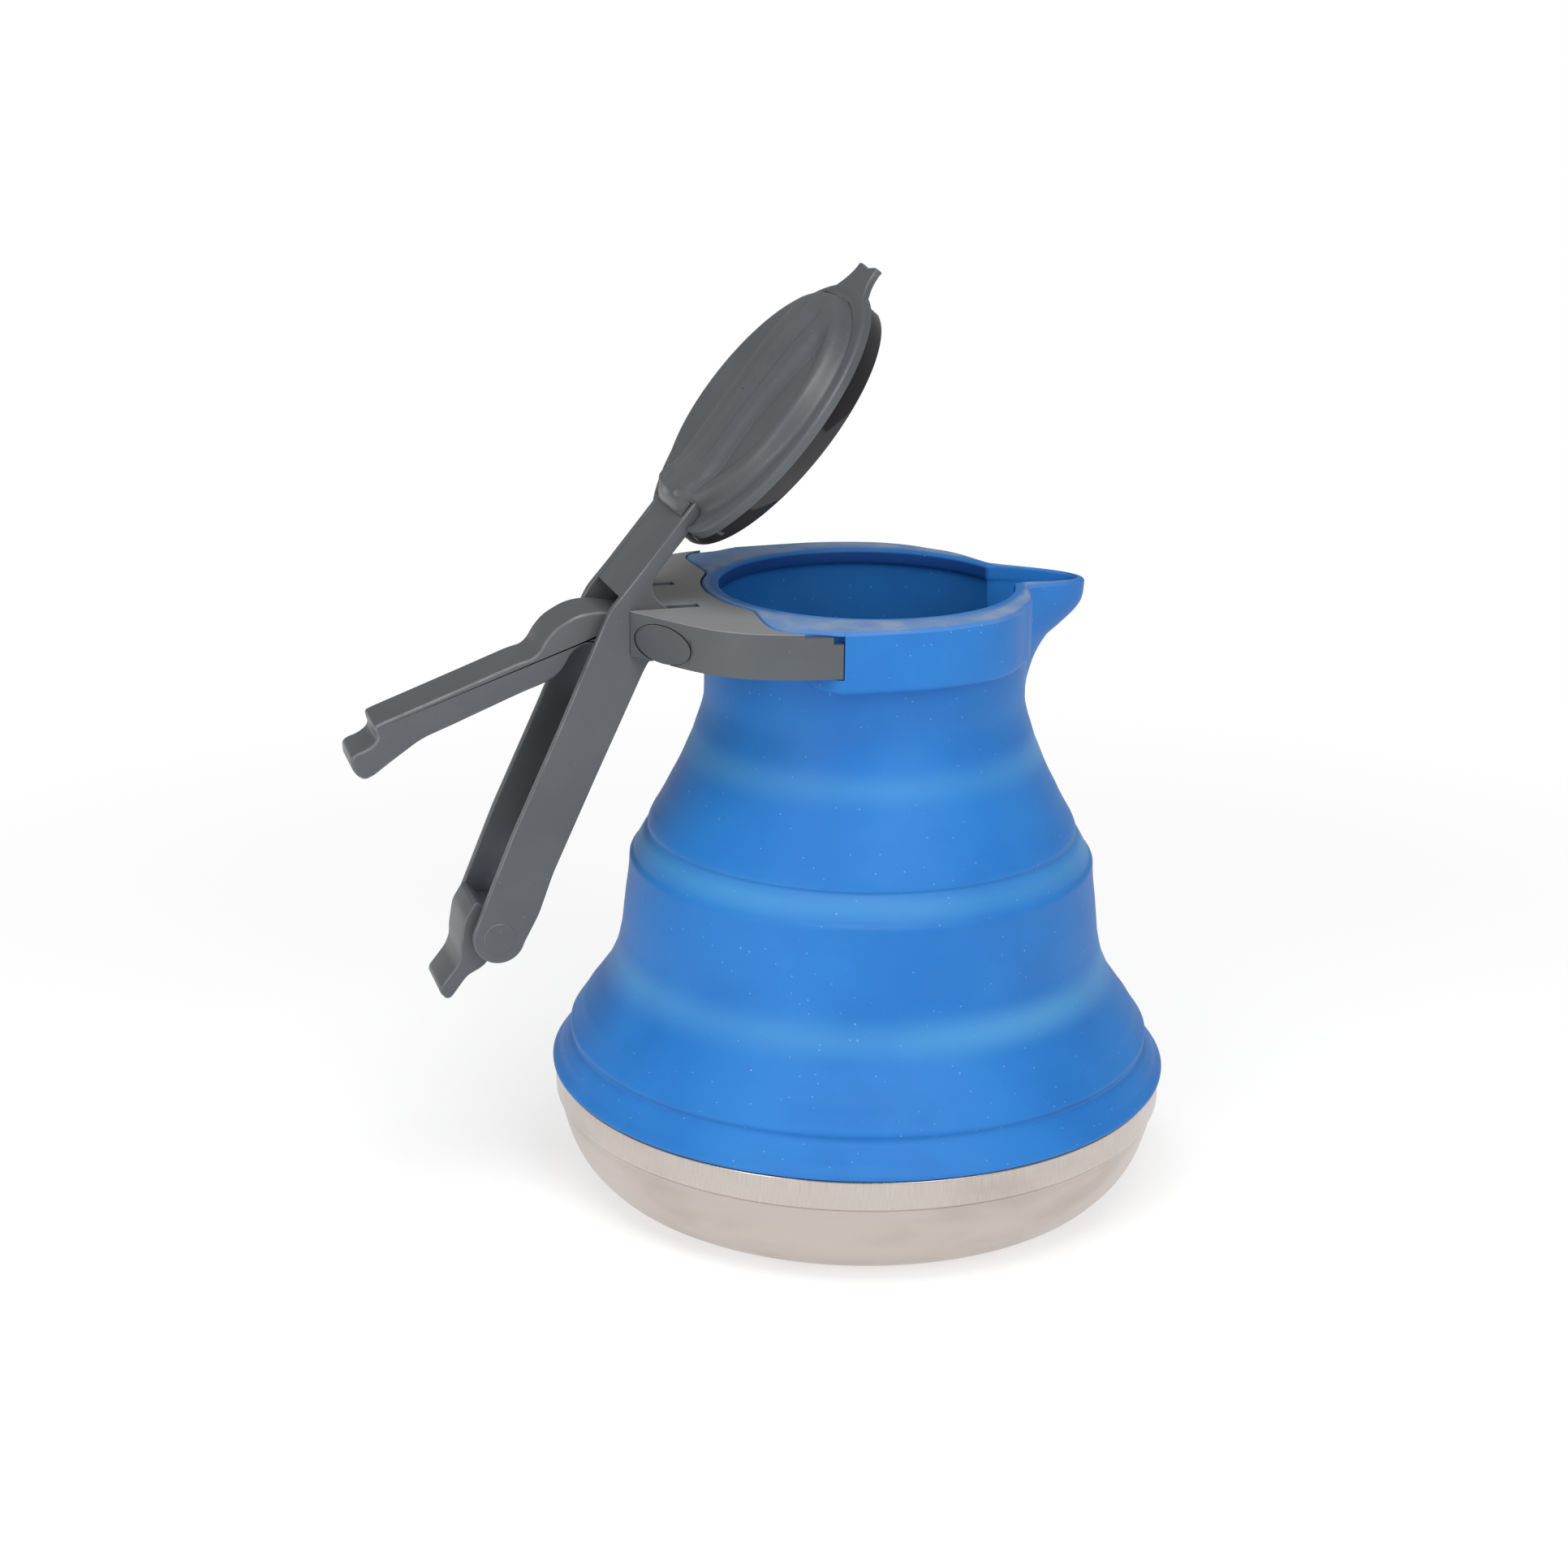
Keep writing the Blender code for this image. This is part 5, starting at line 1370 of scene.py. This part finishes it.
@dataclass
class Lid:
    """Lid cover with ridge, nose, vent and fishtail tab, and the plug under it, drawn with the lid shut.

    Attributes:
        dome: (distance from the dome's centre, height over the edge) of the dome, moat and flange.
        rim: (distance from the lid's centre, height) of the raised ring, added to the dome.
        ridge: (distance from the middle line, height) of the ridge along X, added to the dome.
        tab_side, tab_end: (x, y) of the tab's near side and of its end as far as the middle.
        radius: radius of the flange.
        shift: place of the lid's centre along X.
        dome_x: place of the dome's centre along X.
        edge_level: level of the flange's underside.
        nose_x, nose_half, nose_round: end, half width and rounding of the nose over the lever.
        gap_half: half width of the cut that lets the lever in.
        pocket: front end along X and ceiling level of the pocket under the nose.
        rear, corner: place of the flat rear edge and rounding of its corners.
        plug_radius, plug_shift, plug_low, plug_high: radius, centre along X and levels of the plug.
        notch_half: half angle in degrees of the notch in the plug's foot.
        rows: rows of the cover's grid.
    """

    dome: tuple[tuple[float, float], ...] = (
        (0.0, 6.3), (12.0, 6.1), (20.0, 5.7), (25.0, 5.3), (28.0, 5.5), (31.0, 6.6), (33.0, 7.1),
        (34.2, 6.95), (35.2, 6.1), (35.9, 4.6), (36.5, 3.1), (37.2, 2.35), (38.0, 2.1), (39.4, 2.05),
        (60.0, 2.05),
    )
    rim: tuple[tuple[float, float], ...] = (
        (0.0, 0.0), (38.2, 0.0), (39.0, 0.35), (39.7, 0.72), (40.6, 0.70), (42.4, 0.68), (43.0, 0.55),
        (43.5, -0.05),
    )
    ridge: tuple[tuple[float, float], ...] = (
        (0.0, 3.0), (2.2, 3.05), (3.8, 2.6), (5.4, 2.0), (7.0, 2.35), (9.0, 2.8), (10.8, 2.65), (12.2, 2.05),
        (13.4, 1.1), (14.6, 0.40), (16.5, 0.08), (19.0, 0.0), (60.0, 0.0),
    )
    tab_side: tuple[tuple[float, float], ...] = (
        (40.2, -12.6), (41.9, -10.9), (43.1, -9.7), (44.5, -8.6), (46.2, -7.7), (47.8, -7.3), (48.8, -7.4),
    )
    tab_end: tuple[tuple[float, float], ...] = (
        (49.3, -7.3), (49.45, -6.2), (49.3, -4.0), (48.9, -2.0), (48.5, 0.0),
    )
    radius: float = 43.5
    shift: float = -1.0
    dome_x: float = 1.5
    edge_level: float = 179.2
    nose_x: float = -36.2
    nose_half: float = 13.0
    nose_round: float = 4.6
    gap_half: float = 15.6
    pocket: tuple[float, float] = (-31.6, 184.6)
    rear: float = -38.2
    corner: float = 4.0
    plug_radius: float = 40.6
    plug_shift: float = 0.4
    plug_low: float = 173.5
    plug_high: float = 179.8
    notch_half: float = 14.5
    rows: int = 230

    def height(self, x: np.ndarray, y: np.ndarray) -> np.ndarray:
        """Height of the cover over its edge.

        The dome's profile by distance from the dome's own centre, plus the raised rim by distance from the
        lid's centre, plus a wide ridge along X that fades into the shoulder at the front and runs on to the
        rear as the nose, whose end falls as part of a quarter circle and whose plan has rounded corners.

        Args:
            x: place along X from the frame's origin.
            y: place along Y.

        Returns:
            The height in millimetres.
        """
        dome, rim, ridge = (curve_through(np.array(t), 16) for t in (self.dome, self.rim, self.ridge))
        side = np.abs(y)
        off = np.hypot(x - self.dome_x, y)
        from_centre = np.hypot(x - self.shift, y)
        base = np.interp(off, dome[:, 0], dome[:, 1]) + np.interp(from_centre, rim[:, 0], rim[:, 1])
        front = smooth_step(x, -5.0, 30.0)
        spread = side / (1.0 + 0.22 * front)
        lift = np.interp(spread, ridge[:, 0], ridge[:, 1]) * (1.0 + 0.25 * smooth_step(x, 2.0, 24.0))
        ahead = x > 0
        lift = lift * np.where(ahead, 1.0 - smooth_step(off, 25.0, 35.6), 1.0)
        shape = base + lift
        crown = 9.15 - 0.0045 * side**2 - 0.25 * smooth_step(side, 9.0, 12.0)
        foot = self.nose_half + 1.3 + 1.2 * smooth_step(x, -34.0, -20.0)
        flank = 1.0 - smooth_step(side, self.nose_half - 2.6, foot)
        nose = smooth_step(-x, 14.0, 27.0) * flank
        shape = shape + np.maximum(crown - shape, 0.0) * nose
        end = self.nose_x + 2.4 * np.clip(side / self.nose_half, 0.0, 1.1) ** 4
        into = np.clip((end + self.nose_round - x) / self.nose_round, 0.0, 0.985)
        fall = 0.8 * self.nose_round * (1.0 - np.sqrt(1.0 - into**2))
        shape = np.where((side < self.nose_half + 1.5) & (x < 0), shape - fall, shape)
        return shape - 1.3 * (np.hypot(x - self.dome_x + 0.3, y) < 0.7)

    def grid(self) -> tuple[np.ndarray, np.ndarray]:
        """Plan places of the cover's grid.

        Rows lie at x equal to the lid's centre minus its radius times the cosine of even angles. In a row, y
        runs in five spans between the lid's rim, the gap's sides and the nose's sides, so that grid lines
        follow those sides.

        Returns:
            x and y, each (rows, columns).
        """
        start = math.acos((self.shift - self.rear) / self.radius)
        angle = np.linspace(start, math.pi - 0.004, self.rows)
        x = self.shift - self.radius * np.cos(angle)
        for target in (self.pocket[0], self.nose_x):
            x[np.argmin(np.abs(x - target))] = target
        width = np.sqrt(np.maximum(self.radius**2 - (x - self.shift) ** 2, 0.01))
        turn = np.clip((self.rear + self.corner - x) / self.corner, 0.0, 1.0)
        width = width - self.corner * (1.0 - np.sqrt(1.0 - turn**2))
        gap, nose = np.minimum(self.gap_half, 0.80 * width), np.minimum(self.nose_half, 0.66 * width)
        knots = np.stack([-width, -gap, -nose, nose, gap, width], axis=1)
        counts = (64, 7, 110, 7, 64)
        share = np.concatenate([np.arange(n) / n for n in counts] + [[1.0]])
        span = np.repeat(np.arange(5), counts)
        span = np.append(span, 4)
        y = knots[:, span] * (1.0 - share) + knots[:, span + 1] * share
        return np.broadcast_to(x[:, None], y.shape), y

    def cover(self) -> Surface:
        """Cover shell: top by height, underside one skin below, and walls between them along every border.

        Returns:
            The closed form, lid shut.
        """
        x, y = self.grid()
        share = np.minimum(np.hypot(x - self.shift, y) / self.radius, 1.0)
        top = np.maximum(self.height(x, y), 0.6)
        on_nose = (x <= self.pocket[0] + 1e-6) & (np.abs(y) <= self.nose_half + 1e-6)
        lip = self.pocket[1] - self.edge_level
        top = np.where(on_nose, np.maximum(top, lip + 0.12), top)
        floor = np.where(on_nose, lip, np.maximum(top - 1.5, 0.0) * (share < 0.97))
        inner = 1.0 - (1.5 / self.radius) * smooth_step(share, 0.90, 0.965)
        upper = np.stack([x, y, self.edge_level + top], axis=-1).reshape(-1, 3)
        inset = (x - self.shift) * inner + self.shift
        under = np.stack([inset, y * inner, self.edge_level + floor], axis=-1).reshape(-1, 3)
        middle = np.column_stack([upper[:, :2], under[:, 2]])
        rows, columns = x.shape
        cell_x, cell_y = (x[1:, 1:] + x[:-1, :-1]) / 2, np.abs(y[1:, 1:] + y[:-1, :-1]) / 2
        nose = (cell_x > self.nose_x) & (cell_y < self.nose_half)
        cut = (cell_x < self.pocket[0]) & (cell_y < self.gap_half) & ~nose
        keep = np.pad(~cut, 1)
        number = np.arange(rows * columns).reshape(rows, columns)
        across = np.argwhere(keep[:-1, 1:-1] != keep[1:, 1:-1])
        along = np.argwhere(keep[1:-1, :-1] != keep[1:-1, 1:])
        first = np.concatenate([number[tuple(across.T)], number[tuple(along.T)]])
        second = np.concatenate([number[tuple((across + (0, 1)).T)], number[tuple((along + (1, 0)).T)]])
        size = rows * columns
        quads = grid_quads(rows, columns, False, False)[keep[1:-1, 1:-1].ravel()]
        walls = np.stack([first, second, second + 2 * size, first + 2 * size], axis=1)
        floors = np.stack([first + 2 * size, second + 2 * size, second + size, first + size], axis=1)
        quads = np.concatenate([quads, quads[:, ::-1] + size, walls, floors])
        used, quads = np.unique(quads, return_inverse=True)
        return Surface(np.concatenate([upper, under, middle])[used], quads.reshape(-1, 4))

    def tab(self) -> Surface:
        """Fishtail tab: its plan as one plate.

        Returns:
            The closed form, lid shut.
        """
        half = np.concatenate([curve_through(np.array(self.tab_side), 3), self.tab_end])
        plan = np.concatenate([half, half[::-1][1:] * (1.0, -1.0)])
        return plate(plan, self.edge_level + 0.2, self.edge_level + 2.2, Axis.Z, 0.35, 4)

    def plug(self) -> Surface:
        """Plug: a turned ring whose foot rises to a notch at the spout side, with a plate across it.

        Returns:
            Ring and plate as one form, lid shut.
        """
        count = 288
        at = np.arange(count) * (TURN / count)
        off = np.abs((at + math.pi) % TURN - math.pi)
        near, far = math.radians(self.notch_half - 0.5), math.radians(self.notch_half + 0.5)
        lift = 4.6 * (1.0 - smooth_step(off, near, far))
        outer, wall = self.plug_radius, 1.6
        profile = [
            (outer - 0.6, 0.0, 1.0), (outer - 0.18, 0.18, 1.0), (outer, 0.6, 1.0), (outer, 3.0, 0.5),
            (outer, 6.0, 0.0), (outer - wall, 6.0, 0.0), (outer - wall, 3.0, 0.5), (outer - wall, 0.6, 1.0),
            (outer - wall + 0.18, 0.18, 1.0), (outer - wall + 0.6, 0.0, 1.0),
        ]
        table = np.array(profile)
        radius = table[:, 0][:, None] + np.zeros(count)[None, :]
        level = self.plug_low + table[:, 1][:, None] + table[:, 2][:, None] * lift[None, :]
        level = np.minimum(level, self.plug_high - 0.1)
        points = np.stack([radius * np.cos(at) + self.plug_shift, radius * np.sin(at), level], axis=-1)
        ring = Surface(points.reshape(-1, 3), grid_quads(len(profile), count, True, True))
        outline = arc((self.plug_shift, 0.0), outer - 0.2, 0.0, 358.0, 180)
        disc = plate(outline, self.plug_high - 0.4, self.plug_high + 0.4, Axis.Z, 0.2, 3)
        return merged([ring, disc])

    def build(self, finishes: Finishes) -> None:
        """Make cover and plug, turned open.

        Args:
            finishes: the shared materials.
        """
        cover = merged([self.cover(), self.tab()])
        cover = cover.moved(turned_about_hinge(cover.points, LID_ANGLE))
        dress(grey_piece("lid_shell", cover, "lever", "lid_cover"), finishes.plastic)
        plug = self.plug()
        plug = plug.moved(turned_about_hinge(plug.points, LID_ANGLE))
        piece = make_piece("plug_shell", plug, "lever", ("lid_plug",), "dark_plastic", Shading.CRISP)
        dress(piece, finishes.gloss)


# Stage


@dataclass
class Studio:
    """Floor, backdrop light and camera.

    Attributes:
        eye: camera place in metres.
        look: camera direction.
        lens: focal length in millimetres on a 36 mm sensor.
        roll: turn about the view axis in degrees.
        lamps: name, centre in metres, width and height in metres, and watts of each soft box.
        ambient: strength of the light from all round.
        shade, glow: the floor's colour and its own light near the kettle.
    """

    eye: tuple[float, float, float] = (-0.2463, -0.7153, 0.3571)
    look: tuple[float, float, float] = (0.2833, 0.9105, -0.3013)
    lens: float = 62.73
    roll: float = -0.71
    lamps: tuple[tuple[str, tuple[float, ...], tuple[float, float], float], ...] = (
        ("key", (0.22, -1.05, 0.70), (0.55, 0.60), 3.6),
        ("fill", (-1.0, -0.75, 0.40), (0.35, 0.9), 3.6),
        ("top", (-0.20, -0.45, 1.15), (0.9, 0.6), 7.5),
    )
    ambient: float = 0.30
    shade: tuple[float, ...] = (0.55, 0.55, 0.55, 1.0)
    glow: tuple[float, ...] = (0.58, 0.58, 0.58, 1.0)

    def camera(self) -> None:
        """Place the camera on the photo's viewpoint."""
        data = bpy.data.cameras.new("camera")
        data.lens = self.lens
        data.sensor_width = 36.0
        data.clip_start, data.clip_end = 0.01, 20.0
        camera = bpy.data.objects.new("camera", data)
        bpy.context.scene.collection.objects.link(camera)
        forward = np.array(self.look) / np.linalg.norm(self.look)
        right = np.cross(forward, (0.0, 0.0, 1.0))
        right /= np.linalg.norm(right)
        down = np.cross(forward, right)
        c, s = math.cos(math.radians(self.roll)), math.sin(math.radians(self.roll))
        right, down = right * c + down * s, -right * s + down * c
        turn = np.eye(4)
        turn[:3, 0], turn[:3, 1], turn[:3, 2], turn[:3, 3] = right, -down, -forward, self.eye
        camera.matrix_world = Matrix(turn.tolist())
        bpy.context.scene.camera = camera

    def floor(self) -> None:
        """Lay a pale floor that shows white to the camera and in reflections and keeps the shadow."""
        mesh = bpy.data.meshes.new("floor")
        side, level = 6.0, -0.0002
        corners = [(x * side, y * side, level) for x, y in ((-1, -1), (1, -1), (1, 1), (-1, 1))]
        mesh.from_pydata(corners, [], [(0, 1, 2, 3)])
        floor = bpy.data.objects.new("floor", mesh)
        bpy.context.scene.collection.objects.link(floor)
        n = NodeSet("floor_finish")
        reach = n.add("ShaderNodeVectorMath", {"operation": "LENGTH"}, {0: n.place()}, "Value")
        far = reach.step(0.22, 0.55)
        colour = n.mix(far, self.shade, (0.0, 0.0, 0.0, 1.0))
        glow = n.mix(far, self.glow, (1.0, 1.0, 1.0, 1.0))
        matt = {"Roughness": 0.9, "Specular_IOR_Level": 0.0}
        dress(floor, n.finish(Base_Color=colour, Emission_Color=glow, Emission_Strength=1.0, **matt))

    def world(self) -> None:
        """Even light from all round, and plain white to the camera."""
        world = bpy.data.worlds.new("studio")
        bpy.context.scene.world = world
        world.use_nodes = True
        tree = world.node_tree
        tree.nodes.clear()
        path = tree.nodes.new("ShaderNodeLightPath")
        mix = tree.nodes.new("ShaderNodeMixShader")
        out = tree.nodes.new("ShaderNodeOutputWorld")
        tree.links.new(path.outputs["Is Camera Ray"], mix.inputs["Fac"])
        for number, strength in ((1, self.ambient), (2, 1.0)):
            light = tree.nodes.new("ShaderNodeBackground")
            light.inputs["Color"].default_value = (1.0, 1.0, 1.0, 1.0)
            light.inputs["Strength"].default_value = strength
            tree.links.new(light.outputs[0], mix.inputs[number])
        tree.links.new(mix.outputs[0], out.inputs["Surface"])

    def lamp(
        self, name: str, place: tuple[float, ...], size: tuple[float, float], power: float
    ) -> None:
        """Add one soft box that faces the kettle.

        Args:
            name: lamp name.
            place: its centre in metres.
            size: width and height in metres.
            power: watts.
        """
        data = bpy.data.lights.new(name, "AREA")
        data.shape = "RECTANGLE"
        data.size, data.size_y = size
        data.energy = power
        lamp = bpy.data.objects.new(name, data)
        bpy.context.scene.collection.objects.link(lamp)
        back = np.array(place) - np.array((-0.02, 0.0, 0.13))
        back /= np.linalg.norm(back)
        side = np.cross((0.0, 0.0, 1.0), back)
        side /= np.linalg.norm(side)
        turn = np.eye(4)
        turn[:3, 0], turn[:3, 1], turn[:3, 2], turn[:3, 3] = side, np.cross(back, side), back, place
        lamp.matrix_world = Matrix(turn.tolist())

    def build(self) -> None:
        """Make the camera, floor and lights."""
        self.camera()
        self.floor()
        self.world()
        for lamp in self.lamps:
            self.lamp(*lamp)
        bpy.context.scene.view_settings.view_transform = "Standard"


def main() -> None:
    """Build every sub-assembly and the studio."""
    logging.basicConfig(level=logging.INFO, format="%(message)s")
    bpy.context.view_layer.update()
    finishes = make_finishes()
    for part in (Pan(), SiliconeBody(), Collar(), Yoke(), Lever(), CarryArm(), Latch(), Lid()):
        part.build(finishes)
        LOG.info("built %s", type(part).__name__)
    Studio().build()


if __name__ == "__main__":
    main()
